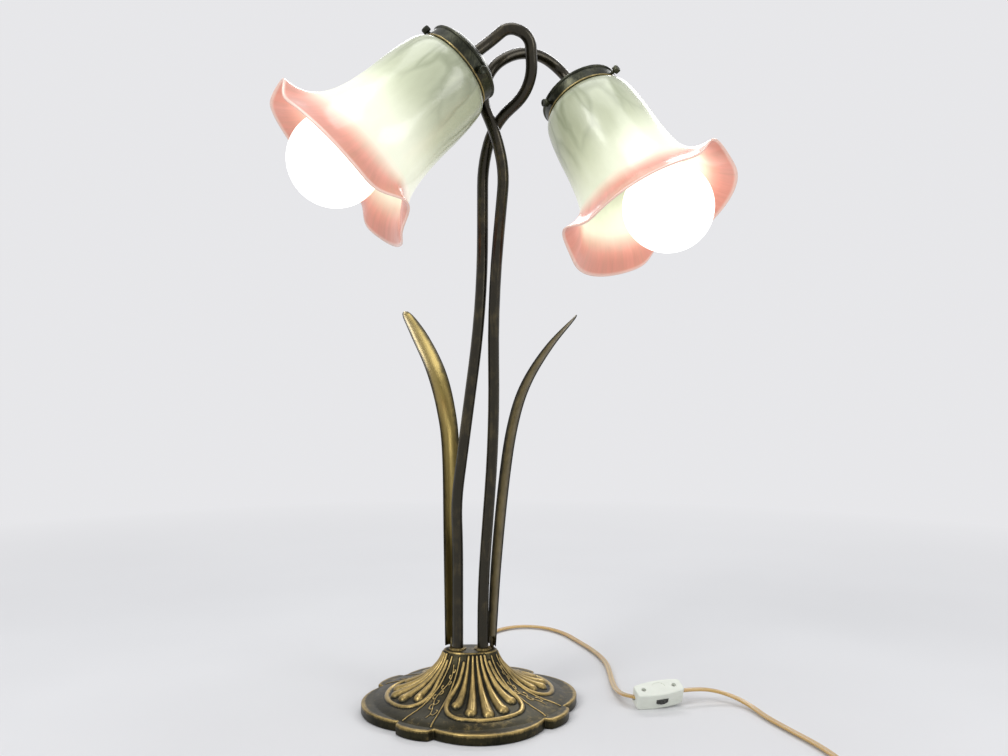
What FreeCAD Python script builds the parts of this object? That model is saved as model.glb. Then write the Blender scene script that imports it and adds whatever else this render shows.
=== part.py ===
import FreeCAD, Part
import math
import os
from FreeCAD import Matrix, Vector

# A table lamp with two glass shades on bent stems that rise from a cast base.
# Millimetres, +Z up, the front faces -Y, the origin lies under the middle of the base.

# ---- Base casting -------------------------------------------------------------
BASE_RADIUS = 101.0            # centre to the crown of each of the four lobes
LOBE_RADIUS = 60.0             # of the arc that rounds a lobe
LOBE_TURN = 15.0               # bearing of the first lobe, degrees
LOBE_HALF_ANGLE = 33.0
TAB_RADIUS = 98.0              # centre to the crown of each tab between two lobes
TAB_SHOULDER_RADIUS = 96.0
TAB_HALF_ANGLE = 9.5
RIM_HEIGHT = 9.5
RIM_ROUND = 1.6
CASTING_LIFT = 0.4             # rim above the table, so that the felt carries the lamp
NECK_LENGTH = 24.5             # half length of the oval neck, along X
NECK_WIDTH = 14.5              # half width of the oval neck, along Y
NECK_HEIGHT = 53.0
CASTING_WALL = 4.5
PLATFORM_THICKNESS = 9.5       # solid top of the neck that the stems pass through
SOCKET_RING_HEIGHT = 1.6       # raised ring round each stem
SOCKET_RING_WIDTH = 3.0
# Height, and how far the flare stands out from the neck along X and along Y.
FLARE = ((53.0, 0.0, 0.0), (47.0, 2.0, 3.0), (40.0, 6.0, 8.5), (32.0, 13.0, 17.0),
         (25.0, 21.5, 27.5), (19.0, 33.5, 41.5), (15.0, 45.5, 55.5), (12.0, 57.5, 67.5),
         (9.0, 65.5, 75.5))

# ---- Scallop shells on the base ----------------------------------------------
SHELL_COUNT = 4
RIB_OFFSETS = (-2, -1, 0, 1, 2)
RIB_PITCH_TOP = 8.5            # degrees between ribs at the neck
RIB_PITCH_END = 12.5           # degrees between ribs at their rounded ends
RIB_TOP_HEIGHT = 50.0
RIB_END_HEIGHT = 15.2          # middle rib; the outer ones stop higher
RIB_END_STEP = 0.9             # rise of the end height, times the square of the offset
RIB_FILL = 0.42                # radius of a rib as a share of the spacing of the ribs
RIB_END_RADIUS = 6.0
RIB_DIVE = 1.5                 # radii that a rib sinks into the flare at its lower end
RIB_SINK = 0.35                # of its radius, how far its centre lies below the surface
BEAD_RADIUS = 2.6              # rounded bead that frames each shell
BEAD_SINK = 0.3                # of its radius
BEAD_MARGIN = 9.0              # degrees outside the outermost rib
# Down one side of the bead: share of its widest or narrowest bearing, height, share of
# its radius.
BEAD_LOWER_MARKS = ((0.36, 13.4, 1.0), (0.72, 14.3, 1.0), (0.94, 17.0, 1.0), (1.0, 22.0, 1.0))
BEAD_UPPER_MARKS = ((1.12, 31.0, 0.8), (1.0, 45.0, 0.55))

# ---- Underside ----------------------------------------------------------------
FELT_THICKNESS = 2.5
COVER_THICKNESS = 1.5
COVER_RADIUS = 83.7
FELT_RADIUS = COVER_RADIUS - 1.2
COVER_FIT = 0.3
COVER_LEDGE = 5.0              # width of the ledge that the cover seats on
BALLAST_RADIUS = 56.0
BALLAST_BORE = 22.0
BALLAST_THICKNESS = 8.0
BALLAST_NOTCH = 8.0            # width of the notch that the cord passes through
BOSS_RADIUS = 5.0
BOSS_CIRCLE = 76.0
COVER_SCREW_RADIUS = 1.5
COVER_SCREW_HEAD_RADIUS = 3.0
COVER_SCREW_LENGTH = 7.0
SCREW_FIT = 0.1

# ---- Stems --------------------------------------------------------------------
STEM_DIAMETER = 10.3
STEM_BORE = 7.6
STEM_SPACING = 23.3            # between the two stems at the neck
STEM_BOTTOM = 36.0             # lower end, below the locknuts
STEM_FIT = 0.08                # radial, in the casting, nuts and collars
STEM_REACH = 50.0              # from the top of a shade holder to the socket cap
STEM_APPROACH = 26.0           # straight end of a stem above its holder
STEM_ARC_SHARE = 0.49          # of the shorter run, taken by each bend
LEFT_STEM_BENDS = ((-11.65, 0.0, 150.0), (-12.9, -6.0, 190.0), (11.8, -20.0, 375.7),
                   (12.0, -22.0, 498.2), (22.5, -27.0, 534.9), (56.9, -44.0, 561.3),
                   (54.3, -58.0, 603.5), (35.0, -61.5, 610.0))
RIGHT_STEM_BENDS = ((11.65, 0.0, 110.0), (22.6, -8.0, 257.0), (21.2, -22.0, 375.5),
                    (31.7, -34.0, 488.9), (24.8, -42.0, 519.5), (10.3, -33.0, 555.9),
                    (19.6, -30.0, 585.3), (42.6, -22.0, 601.1), (66.0, -8.0, 603.0))
LOCKNUT_FLATS = 14.0
LOCKNUT_THICKNESS = 4.5
WASHER_RADIUS = 8.0
WASHER_THICKNESS = 1.2

# ---- Leaves -------------------------------------------------------------------
LEAF_WIDTH = 18.0
LEAF_THICKNESS = 1.6
LEAF_TROUGH = 3.4              # how deep the blade is hollowed across its width
LEAF_STUD_RADIUS = 2.0
LEAF_STUD_LENGTH = 7.0
LEAF_STUD_RISE = 9.0           # height of the stud's end above the neck, behind the blade
LEAF_FIT = 0.05
# Foot on the neck, bearing of the lean in degrees, height and lean of the midline, and
# the width along it as a share of the full width. The blade stands clear of the rings.
LEFT_LEAF = {"foot": (-17.5, 8.0), "bearing": 120.0,
             "midline": ((54.8, 0.0), (150.0, 0.5), (235.0, 3.0), (275.0, 13.0),
                         (312.0, 35.0), (347.0, 72.0), (373.5, 107.0)),
             "taper": (0.8, 0.95, 1.0, 1.08, 1.15, 1.05, 0.62)}
RIGHT_LEAF = {"foot": (20.0, 7.0), "bearing": 32.0,
              "midline": ((54.8, 0.0), (130.0, 5.0), (209.0, 14.0), (262.0, 24.0),
                          (300.0, 39.0), (336.0, 66.0), (367.0, 99.0)),
              "taper": (0.8, 0.95, 1.0, 1.0, 0.95, 0.75, 0.25)}

# ---- Shade holders ------------------------------------------------------------
HOLDER_RADIUS = 36.0
HOLDER_SHEET = 1.0
HOLDER_WALL_HEIGHT = 11.0
HOLDER_HEIGHT = 20.0           # rim to the top of the crown
HOLDER_RIDGE = 1.1             # how far the ridge at the top of the wall stands out
HOLDER_RIDGE_START = 1.6       # below the top of the wall
HOLDER_FLAT_RADIUS = 18.0      # edge of the flat top
# Radius and level of the shoulder's foot and of the middle of its arc, outside and inside.
HOLDER_SHOULDER = ((35.6, -12.5), (30.2, -16.4))
HOLDER_SHOULDER_INSIDE = ((34.6, -12.2), (29.4, -15.7))
HOLDER_WALL_INSIDE = -10.4     # level where the inside of the wall starts to curve
HOLDER_HOLE_CLEARANCE = 0.35   # the holder droops a little on its stem
COLLAR_RADIUS = 9.0
COLLAR_HEIGHT = 5.0
COLLAR_ROUND = 1.6
COLLAR_INSIDE = 2.0            # made longer than the crown's slant, then cut to meet it
HOLDER_NUT_FLATS = 14.0
HOLDER_NUT_THICKNESS = 3.5
THUMBSCREW_COUNT = 3
THUMBSCREW_LEVEL = 5.5         # above the holder's rim
THUMBSCREW_RADIUS = 1.6
THUMBSCREW_FIT = 0.05
THUMBSCREW_HEAD_RADIUS = 3.6
THUMBSCREW_NECK = 2.6          # plain neck between the holder and the head
THUMBSCREW_HEAD_LENGTH = 5.0
THUMBSCREW_BEVELS = (0.5, 0.8) # of the head's inner and outer edge

# ---- Glass shades (levels are measured from the holder's rim, along the shade) -
GLASS_THICKNESS = 2.6
LIP_THINNING = 0.35            # thinner at each of the last points of the outline
LIP_THINNING_POINTS = 3
FITTER_RADIUS = 30.5           # neck of the glass, inside the holder
FITTER_TOP = -9.5
FITTER_BEAD = 1.6
SHADE_BODY = ((30.5, -4.0), (31.2, -1.6), (37.5, 2.6), (42.0, 9.5), (44.5, 22.0), (46.2, 40.0),
              (47.2, 60.0), (49.3, 80.0))
LOBE_FLARE = ((53.0, 97.0), (58.8, 111.0), (67.5, 125.0))
POINT_FLARE = ((54.0, 97.0), (61.5, 109.5), (71.5, 117.0))
LIP_RADIUS = 80.0              # of the mouth
LIP_LEVEL = 137.0
POINT_RADIUS = 84.0            # of the three drawn-back points of the lip
POINT_LEVEL = 121.0
POINT_COUNT = 3
POINT_SHARPNESS = 8.0
SHADE_STEPS = (0.0, 5.0, 10.0, 16.0, 24.0, 34.0, 46.0, 60.0)

# ---- Sockets and bulbs (distances along the stem's end, from the holder's top) --
SOCKET_RADIUS = 18.5
SOCKET_CAP_START = 43.0
SOCKET_CAP_HUB = (8.0, 3.5)    # radius and height of the hub on the stem
# Middle and end of the arc of the cap's dome, outside and inside: radius and height.
SOCKET_CAP_DOME = ((15.2, 5.6), (18.5, 11.0))
SOCKET_CAP_DOME_INSIDE = ((14.6, 6.8), (17.5, 11.2))
SOCKET_CAP_HUB_INSIDE = 4.8
SOCKET_CAP_HEIGHT = 15.0
SOCKET_LAP = 3.4               # length of the shell that plugs into the cap
SOCKET_SEAM = 0.1
SOCKET_SHELL_END = 102.0
SOCKET_SHEET = 1.0
SOCKET_FIT = 0.05
INSULATOR_START = 60.0
INSULATOR_FLOOR = 11.0
INSULATOR_END = 101.0
SCREW_SHELL_THICKNESS = 0.6
SCREW_SHELL_END = 99.0
BULB_TIP = 75.0                # lowest point of the bulb's foot contact
BULB_CAP_RADIUS = 13.2
# Radius and height above the tip of the foot contact, its insulator and the cap's edge.
BULB_FOOT = ((4.0, 0.0), (4.4, 1.4), (10.5, 4.5), (13.2, 7.0))
BULB_FOOT_INSIDE = ((12.45, 8.0), (9.5, 6.0), (0.0, 6.0))
BULB_CAP_END = 101.0
BULB_RUNNING_GAP = 0.4
BULB_TUBE_RADIUS = 12.4        # glass tube inside the cap
BULB_TUBE_START = 96.0
BULB_CENTRE = 151.5
GLOBE_RADIUS = 39.75
GLOBE_GLASS = 1.0
GLOBE_SEAM = 0.3               # above the cap's edge
GLOBE_NECK_RADIUS = 22.0       # where the neck's curve meets the sphere
GLOBE_NECK_CURVE = (0.36, 0.62)  # middle of the neck's arc, as shares of its width and height
GLOBE_SIDE_ANGLE = 10.0        # below the middle, where the sphere's arc is set out
MOUNT_TOP = 128.0
MOUNT_PLUG = (1.0, 3.0)        # from the start of the bulb's glass tube
MOUNT_POST_RADIUS = 2.5
MOUNT_RISER_RADIUS = 1.2
MOUNT_RISE = 6.0
MOUNT_LOOP_RADIUS = 8.0
MOUNT_WIRE_RADIUS = 0.8
CONTACT_RADIUS = 4.0
CONTACT_THICKNESS = 1.2
CONTACT_GAP = 0.1              # between the socket's contact and the bulb's foot

# Top of each holder, bearing and droop of the holder and of the stem's end, and the
# angles of the first lip point and the first thumbscrew about the shade's axis, with
# 0 facing the front.
HEADS = {
    "left": {"top": (3.0, -66.4, 582.4), "holder": (193.6, 43.1), "stem": (197.6, 39.9),
             "point": 64.9, "screw": 84.0},
    "right": {"top": (97.2, -5.0, 573.0), "holder": (-41.1, 56.5), "stem": (-34.3, 51.9),
              "point": -50.0, "screw": -62.0},
}

# ---- Cord ----------------------------------------------------------------------
CORD_DIAMETER = 5.6
CORD_FIT = 0.05
CORD_ARC_SHARE = 0.45
CORD_X = 4.0                   # where the cord leaves the back of the rim
CORD_EXIT_HEIGHT = 5.0
BUSHING_RADIUS = 3.6
BUSHING_FLANGE = 4.3
BUSHING_FLANGE_THICKNESS = 1.5
BUSHING_TIP_RADIUS = 3.3
BUSHING_INSIDE = 8.0
BUSHING_OUTSIDE = 24.0
BUSHING_SEAT_Y = 97.5

# ---- Wires inside ----------------------------------------------------------------
LEAD_DIAMETER = 4.6
LEAD_BOTTOM = 24.0
LEAD_END = 59.9                # along the stem's end, at the insulator's back
CONNECTOR_RADIUS = 5.0
CONNECTOR_NOSE_RADIUS = 3.4
CONNECTOR_LENGTH = 16.0
CONNECTOR_SKIRT = 3.0
CONNECTOR_GAP = 0.1            # below the lead
TAIL_DIAMETER = 4.2            # the cord inside the base, without its jacket
TAIL_HEIGHT = 6.15
TAIL_END_Y = 2.0

# ---- Switch on the cord (its own frame: X along the cord, Z out of its face) ------
SWITCH_LENGTH = 46.0
SWITCH_WIDTH = 20.0
SWITCH_END_WIDTH = 14.0
SWITCH_HEIGHT = 16.0
SWITCH_WALL = 1.6
SWITCH_ROUND = 1.2
SWITCH_CORNER = 3.0
SWITCH_SEAM = 0.1
SWITCH_ARC_RADIUS = 6.5        # engraved arc on its face
SWITCH_ARC_DEPTH = 0.35
SWITCH_ARC_WIDTH = 0.7
SWITCH_ARC_ANGLE = 150.0
SWITCH_SCREW_SINK = 2.6
SWITCH_SCREW_HEAD_HEIGHT = 1.6
SWITCH_SCREW_TIP = 3.0         # above the switch's back
SWITCH_CENTRE = (174.5, -2.5, 11.3)
SWITCH_BEARING = 15.0
SWITCH_PITCH = 4.0             # its far end is propped up by the cord
SWITCH_TILT = 22.0             # it leans towards the front on one long edge
WHEEL_RADIUS = 8.2
WHEEL_THICKNESS = 4.0
WHEEL_PROUD = 1.8              # how far the wheel stands out of its slot
WHEEL_SLOT_GAP = 0.4
WHEEL_TEETH = 16
WHEEL_TOOTH_DEPTH = 0.5
AXLE_RADIUS = 1.5
AXLE_FIT = 0.05
SWITCH_SCREW_X = 15.0
SWITCH_SCREW_RADIUS = 1.3
SWITCH_SCREW_HEAD_RADIUS = 2.2
SWITCH_POST_RADIUS = 2.6
SWITCH_CONTACT_X = 10.8
SWITCH_CONTACT = (3.0, 6.0, 0.6)  # foot of a contact; its tongue is as wide and as high

# ---- Route of the cord over the table ----------------------------------------------
# From the base to the switch, and from the switch to the coil; X, Y and height.
FIRST_ROUTE = ((4.0, 146.0, 5.0), (5.5, 184.0, 2.8), (10.0, 222.0, 2.8), (20.0, 252.0, 2.8),
               (48.0, 274.0, 2.8), (80.0, 268.0, 2.8),
               (103.0, 241.0, 2.8), (117.0, 205.0, 2.8), (131.0, 168.0, 2.8),
               (140.0, 128.0, 2.8), (140.0, 90.0, 2.8), (139.0, 58.0, 2.8),
               (139.5, 34.0, 4.0), (142.0, 14.0, 6.5), (147.5, -0.5, 9.0))
SECOND_ROUTE = ((212.0, 8.2, 13.0), (232.0, 11.5, 10.0), (249.0, 4.0, 6.0),
                (259.0, -13.0, 3.4), (265.0, -38.0, 2.8), (277.0, -70.0, 2.8),
                (290.0, -102.0, 2.8), (297.0, -132.0, 3.0), (298.6, -165.0, 3.5))
CORD_IN_SWITCH = 3.0           # length of cord held inside each end of the switch

# ---- Coil of the cord's unseen length, and the plug ---------------------------------
COIL_CENTRE = (338.6, -197.0)
COIL_FLOOR_LINE = 3.5          # the ties lie under the lowest turns
COIL_LAYER_RISE = 6.2
COIL_END = 5.6                 # straight length at each end of the coil
# Where each half turn of the coil crosses its X axis, and the layer it lies in.
COIL_MARKS = ((-40.0, 0), (40.0, 0), (-33.8, 0), (33.8, 0), (-27.6, 0), (27.6, 0),
              (-21.4, 1), (30.7, 1), (-30.7, 1), (36.9, 1), (-36.9, 1))
COIL_JOINT_GAP = 0.1
END_ROUTE = ((301.7, -220.0, 9.7), (302.4, -239.0, 8.6))
END_ROUTE_FINISH = (303.1, -257.0, 7.6)
TIE_THICKNESS = 0.6
TIE_WIDTH = 4.0
TIE_GAP = 0.1
TIE_INNER = 21.4               # from the middle of the coil to the inside of the turns
TIE_OUTER = 43.2
PLUG_START_Y = -253.0
PLUG_LIFT = 0.1
PLUG_NOSE_LENGTH = 9.0
PLUG_EDGE = 1.2
PLUG_LENGTH = 26.0
PLUG_WIDTH = 24.0
PLUG_HEIGHT = 15.0
PLUG_NOSE_WIDTH = 11.0
PLUG_CORNER = 2.5
BLADE_SPACING = 12.7
BLADE_LENGTH = 16.5
BLADE_ROOT = 4.0               # length of blade held inside the plug
BLADE_THICKNESS = 1.5
BLADE_WIDTHS = (6.35, 7.9)     # the wider one is the neutral

UP = Vector(0, 0, 1)
FRONT = Vector(0, -1, 0)
ORIGIN = Vector(0, 0, 0)


# ---- Helpers --------------------------------------------------------------------------
def unit(vector):
    return vector * (1.0 / vector.Length)


def bearing_vector(bearing, droop=0.0):
    """Unit vector at a bearing in the XY plane, drooping below it by an angle."""
    flat = math.cos(math.radians(droop))
    return Vector(flat * math.cos(math.radians(bearing)),
                  flat * math.sin(math.radians(bearing)),
                  -math.sin(math.radians(droop)))


def frame_along(origin, axis, towards):
    """Matrix whose Z runs along axis and whose X leans towards a direction."""
    z = unit(axis)
    x = unit(towards - z * towards.dot(z))
    y = z.cross(x)
    return Matrix(x.x, y.x, z.x, origin.x, x.y, y.y, z.y, origin.y,
                  x.z, y.z, z.z, origin.z, 0, 0, 0, 1)


def placed(shape, matrix):
    copy = shape.copy()
    copy.transformShape(matrix, True)
    return copy


def wire_through(start, *steps):
    """Closed wire in the XZ plane: a step is (r, z), or a pair (middle, end) of an arc."""
    edges = []
    here = Vector(start[0], 0, start[1])
    first = here
    for step in steps:
        if isinstance(step[0], tuple):
            middle = Vector(step[0][0], 0, step[0][1])
            there = Vector(step[1][0], 0, step[1][1])
            edges.append(Part.Arc(here, middle, there).toShape())
        else:
            there = Vector(step[0], 0, step[1])
            edges.append(Part.LineSegment(here, there).toShape())
        here = there
    if here.distanceToPoint(first) > 1e-6:
        edges.append(Part.LineSegment(here, first).toShape())
    return Part.Wire(edges)


def turned(start, *steps):
    """Solid of revolution about Z of a closed outline of (radius, height) steps."""
    return Part.Face(wire_through(start, *steps)).revolve(ORIGIN, UP, 360)


def tube(outer, inner, bottom, top):
    return turned((inner, bottom), (outer, bottom), (outer, top), (inner, top))


def rod(radius, bottom, top, x=0.0, y=0.0):
    return Part.makeCylinder(radius, top - bottom, Vector(x, y, bottom))


def hex_nut(flats, bore, bottom, top):
    corner = flats / math.sqrt(3)
    points = [Vector(corner * math.cos(math.radians(a)), corner * math.sin(math.radians(a)),
                     bottom) for a in range(0, 361, 60)]
    prism = Part.Face(Part.makePolygon(points)).extrude(UP * (top - bottom))
    return prism.cut(rod(bore, bottom - 1, top + 1))


def rounded_route(points, share):
    """Straight runs joined by tangent arcs, and the arcs' radii."""
    points = [Vector(*p) for p in points]
    edges = []
    radii = []
    here = points[0]
    for before, corner, after in zip(points, points[1:], points[2:]):
        back = before - corner
        ahead = after - corner
        turn = math.pi - back.getAngle(ahead)
        reach = share * min(back.Length, ahead.Length)
        radius = reach / math.tan(turn / 2)
        bisector = unit(unit(back) + unit(ahead))
        begin = corner + unit(back) * reach
        end = corner + unit(ahead) * reach
        middle = corner + bisector * (radius / math.cos(turn / 2) - radius)
        if here.distanceToPoint(begin) > 1e-6:
            edges.append(Part.LineSegment(here, begin).toShape())
        edges.append(Part.Arc(begin, middle, end).toShape())
        radii.append(radius)
        here = end
    edges.append(Part.LineSegment(here, points[-1]).toShape())
    return Part.Wire(edges), radii


def swept(wire, radius):
    """Round bar along a wire."""
    start = wire.OrderedEdges[0]
    low = start.FirstParameter
    origin = start.valueAt(low)
    circle = Part.Wire(Part.makeCircle(radius, origin, start.tangentAt(low)))
    return wire.makePipeShell([circle], True, False)


def lofted(wires, ruled=False):
    return Part.makeLoft(wires, True, ruled)


def save(name, *shapes):
    """Writes one node: a single solid, or a group of separate ones."""
    solids = [solid for shape in shapes for solid in shape.Solids]
    node = solids[0] if len(solids) == 1 else Part.makeCompound(solids)
    for solid in solids:
        if not solid.isValid():
            print("check the solid of", name)
    node.exportStep(os.path.join("parts", name + ".step"))
    print("%-28s %3d solid(s) %9.1f mm3" % (name, len(solids), node.Volume))
    return node


# ---- Base -------------------------------------------------------------------------------
def polar(radius, bearing, height):
    return Vector(radius * math.cos(math.radians(bearing)),
                  radius * math.sin(math.radians(bearing)), height)


def lobe_radius_at(angle):
    """Distance from the centre to a lobe's arc, at an angle from the lobe's crown."""
    centre = BASE_RADIUS - LOBE_RADIUS
    across = centre * math.sin(math.radians(angle))
    return centre * math.cos(math.radians(angle)) + math.sqrt(LOBE_RADIUS ** 2 - across ** 2)


def rim_wire(height):
    """Outline of the base: four lobes with a small tab between each two."""
    edges = []
    sector = 360.0 / SHELL_COUNT
    for k in range(SHELL_COUNT):
        crown = LOBE_TURN + k * sector
        tab = crown + sector / 2
        notch = lobe_radius_at(LOBE_HALF_ANGLE)
        begin = polar(notch, crown - LOBE_HALF_ANGLE, height)
        end = polar(notch, crown + LOBE_HALF_ANGLE, height)
        tab_begin = polar(TAB_SHOULDER_RADIUS, tab - TAB_HALF_ANGLE, height)
        tab_end = polar(TAB_SHOULDER_RADIUS, tab + TAB_HALF_ANGLE, height)
        following = polar(notch, crown + sector - LOBE_HALF_ANGLE, height)
        edges.append(Part.Arc(begin, polar(BASE_RADIUS, crown, height), end).toShape())
        edges.append(Part.LineSegment(end, tab_begin).toShape())
        edges.append(Part.Arc(tab_begin, polar(TAB_RADIUS, tab, height), tab_end).toShape())
        edges.append(Part.LineSegment(tab_end, following).toShape())
    return Part.Wire(edges)


def flare_axes(height, inset=0.0):
    """Half axes of the flare's oval at a height, by straight lines between its levels."""
    for (high, out_x, out_y), (low, far_x, far_y) in zip(FLARE, FLARE[1:]):
        if height >= low:
            break
    t = (high - height) / (high - low)
    return (NECK_LENGTH + out_x + t * (far_x - out_x) - inset,
            NECK_WIDTH + out_y + t * (far_y - out_y) - inset)


def flare_solid(levels, inset):
    sections = [smooth_oval(level, *flare_axes(level, inset)) for level in levels]
    return lofted(sections)


def smooth_oval(height, length, width):
    """Oval as a closed smooth curve that always starts on the X axis."""
    points = [Vector(length * math.cos(math.radians(a)), width * math.sin(math.radians(a)),
                     height) for a in range(0, 360, 30)]
    curve = Part.BSplineCurve()
    curve.interpolate(points, PeriodicFlag=True)
    return Part.Wire(curve.toShape())


def on_flare(bearing, height, depth=0.0):
    """Point on the flare, or at a depth below its surface."""
    length, width = flare_axes(height)
    point = Vector(length * math.cos(math.radians(bearing)),
                   width * math.sin(math.radians(bearing)), height)
    run = (flare_axes(height - 0.5)[0] - flare_axes(height + 0.5)[0])
    outward = unit(unit(Vector(point.x, point.y, 0)) + UP * run)
    return point - outward * depth


def rib(crown, offset):
    """One convex flute of a shell: it widens down the flare and ends rounded."""
    end_height = RIB_END_HEIGHT + RIB_END_STEP * offset ** 2
    steps = (0.0, 0.25, 0.5, 0.75, 1.0)
    centres = []
    radii = []
    for t in steps:
        height = RIB_TOP_HEIGHT + (end_height - RIB_TOP_HEIGHT) * math.sin(t * math.pi / 2)
        pitch = RIB_PITCH_TOP + (RIB_PITCH_END - RIB_PITCH_TOP) * t
        surface = on_flare(crown + offset * pitch, height)
        spacing = math.hypot(surface.x, surface.y) * math.radians(pitch)
        radius = min(RIB_FILL * spacing, RIB_END_RADIUS)
        centres.append(on_flare(crown + offset * pitch, height, RIB_SINK * radius))
        radii.append(radius)
    ahead = unit(centres[-1] - centres[-2])
    centres.append(centres[-1] + (ahead - UP * RIB_DIVE) * radii[-1])
    radii.append(radii[-1])
    return lofted(round_sections(centres, radii))


def round_sections(centres, radii):
    """Circles set square to the line through their centres."""
    sections = []
    for k, (centre, radius) in enumerate(zip(centres, radii)):
        ahead = centres[min(k + 1, len(centres) - 1)] - centres[max(k - 1, 0)]
        sections.append(Part.Wire(Part.makeCircle(radius, centre, ahead)))
    return sections


def bead(crown):
    """Rounded bead down both sides of a shell and round its lower end."""
    outer = RIB_OFFSETS[-1]
    side = outer * RIB_PITCH_END + BEAD_MARGIN
    top = outer * RIB_PITCH_TOP + BEAD_MARGIN
    half = [(side * share, height, BEAD_RADIUS * size) for share, height, size
            in BEAD_LOWER_MARKS]
    half += [(top * share, height, BEAD_RADIUS * size) for share, height, size
             in BEAD_UPPER_MARKS]
    marks = [(-angle, height, radius) for angle, height, radius in reversed(half)] + half
    centres = [on_flare(crown + angle, height, BEAD_SINK * radius)
               for angle, height, radius in marks]
    return lofted(round_sections(centres, [radius for _, _, radius in marks]))


def base_casting():
    levels = [level for level, _, _ in FLARE]
    rim = Part.Face(rim_wire(CASTING_LIFT)).extrude(UP * (RIM_HEIGHT - CASTING_LIFT))
    top_edges = [edge for edge in rim.Edges
                 if all(abs(v.Z - RIM_HEIGHT) < 1e-6 for v in edge.Vertexes)]
    rim = rim.makeFillet(RIM_ROUND, top_edges)
    body = rim.fuse(flare_solid(levels, 0.0))
    for k in range(SHELL_COUNT):
        crown = LOBE_TURN + k * 360.0 / SHELL_COUNT
        body = body.multiFuse([rib(crown, offset) for offset in RIB_OFFSETS] + [bead(crown)])
    for side in (-1, 1):
        body = body.fuse(rod(STEM_DIAMETER / 2 + SOCKET_RING_WIDTH, NECK_HEIGHT - 1,
                             NECK_HEIGHT + SOCKET_RING_HEIGHT, side * STEM_SPACING / 2))
    roof = NECK_HEIGHT - PLATFORM_THICKNESS
    cavity_levels = [level for level in levels if level < roof - 2]
    sections = [smooth_oval(level - CASTING_WALL * 0.4, *flare_axes(level, CASTING_WALL))
                for level in cavity_levels]
    sections.insert(0, smooth_oval(roof, *flare_axes(roof, CASTING_WALL)))
    cavity = lofted(sections)
    floor_top = FELT_THICKNESS + COVER_THICKNESS
    recess = rod(COVER_RADIUS + COVER_FIT, CASTING_LIFT - 1, floor_top)
    well = rod(COVER_RADIUS - COVER_LEDGE, floor_top - 1, cavity.BoundBox.ZMin + 0.5)
    body = body.cut(recess.fuse([cavity, well]))
    for k in range(SHELL_COUNT):
        body = body.fuse(rod(BOSS_RADIUS, floor_top, RIM_HEIGHT + 0.5, *boss_place(k)))
    holes = [rod(COVER_SCREW_RADIUS + SCREW_FIT, floor_top - 1,
                 FELT_THICKNESS + COVER_SCREW_LENGTH + 0.5, *boss_place(k))
             for k in range(SHELL_COUNT)]
    for side in (-1, 1):
        holes.append(rod(STEM_DIAMETER / 2 + STEM_FIT, STEM_BOTTOM, NECK_HEIGHT + 9,
                         side * STEM_SPACING / 2))
    for leaf in (LEFT_LEAF, RIGHT_LEAF):
        holes.append(rod(LEAF_STUD_RADIUS + LEAF_FIT, NECK_HEIGHT - LEAF_STUD_LENGTH,
                         NECK_HEIGHT + LEAF_STUD_RISE, *leaf["foot"]))
    cord_hole = Part.makeCylinder(BUSHING_RADIUS + CORD_FIT, BASE_RADIUS,
                                  Vector(CORD_X, COVER_RADIUS - 2 * COVER_LEDGE,
                                         CORD_EXIT_HEIGHT), Vector(0, 1, 0))
    flange_seat = Part.makeCylinder(BUSHING_FLANGE + CORD_FIT, BASE_RADIUS,
                                    Vector(CORD_X, BUSHING_SEAT_Y, CORD_EXIT_HEIGHT),
                                    Vector(0, 1, 0))
    holes += [cord_hole, flange_seat]
    return body.cut(holes)


def boss_place(k):
    bearing = math.radians(LOBE_TURN + k * 360.0 / SHELL_COUNT)
    return BOSS_CIRCLE * math.cos(bearing), BOSS_CIRCLE * math.sin(bearing)


def underside():
    """Felt, cover plate, its screws and the ballast that keeps the lamp upright."""
    floor_top = FELT_THICKNESS + COVER_THICKNESS
    felt = rod(FELT_RADIUS, 0, FELT_THICKNESS)
    cover = rod(COVER_RADIUS, FELT_THICKNESS, floor_top)
    screws = []
    for k in range(SHELL_COUNT):
        x, y = boss_place(k)
        head = Part.makeCone(COVER_SCREW_HEAD_RADIUS, COVER_SCREW_RADIUS, COVER_THICKNESS,
                             Vector(x, y, FELT_THICKNESS))
        seat = Part.makeCone(COVER_SCREW_HEAD_RADIUS + SCREW_FIT,
                             COVER_SCREW_RADIUS + SCREW_FIT, COVER_THICKNESS,
                             Vector(x, y, FELT_THICKNESS))
        shank = rod(COVER_SCREW_RADIUS, floor_top, FELT_THICKNESS + COVER_SCREW_LENGTH, x, y)
        cover = cover.cut(seat)
        screws.append(head.fuse(shank))
    ballast = tube(BALLAST_RADIUS, BALLAST_BORE, floor_top, floor_top + BALLAST_THICKNESS)
    ballast = ballast.cut(Part.makeBox(BALLAST_NOTCH, BALLAST_RADIUS, 2 * BALLAST_THICKNESS,
                                       Vector(CORD_X - BALLAST_NOTCH / 2, 0, floor_top - 1)))
    return felt, cover, screws, ballast


# ---- Stems --------------------------------------------------------------------------------
def stem_route(bends, head):
    """Points of a stem from below the base to the socket cap."""
    top = Vector(*head["top"])
    along = bearing_vector(*head["stem"])
    start = (bends[0][0], bends[0][1], STEM_BOTTOM)
    approach = top - along * STEM_APPROACH
    return [start, *bends, tuple(approach), tuple(top + along * STEM_REACH)]


def stem(bends, head, name):
    wire, radii = rounded_route(stem_route(bends, head), STEM_ARC_SHARE)
    print(name, "stem bend radii:", " ".join("%.1f" % r for r in radii))
    return swept(wire, STEM_DIAMETER / 2).cut(swept(wire, STEM_BORE / 2))


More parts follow.
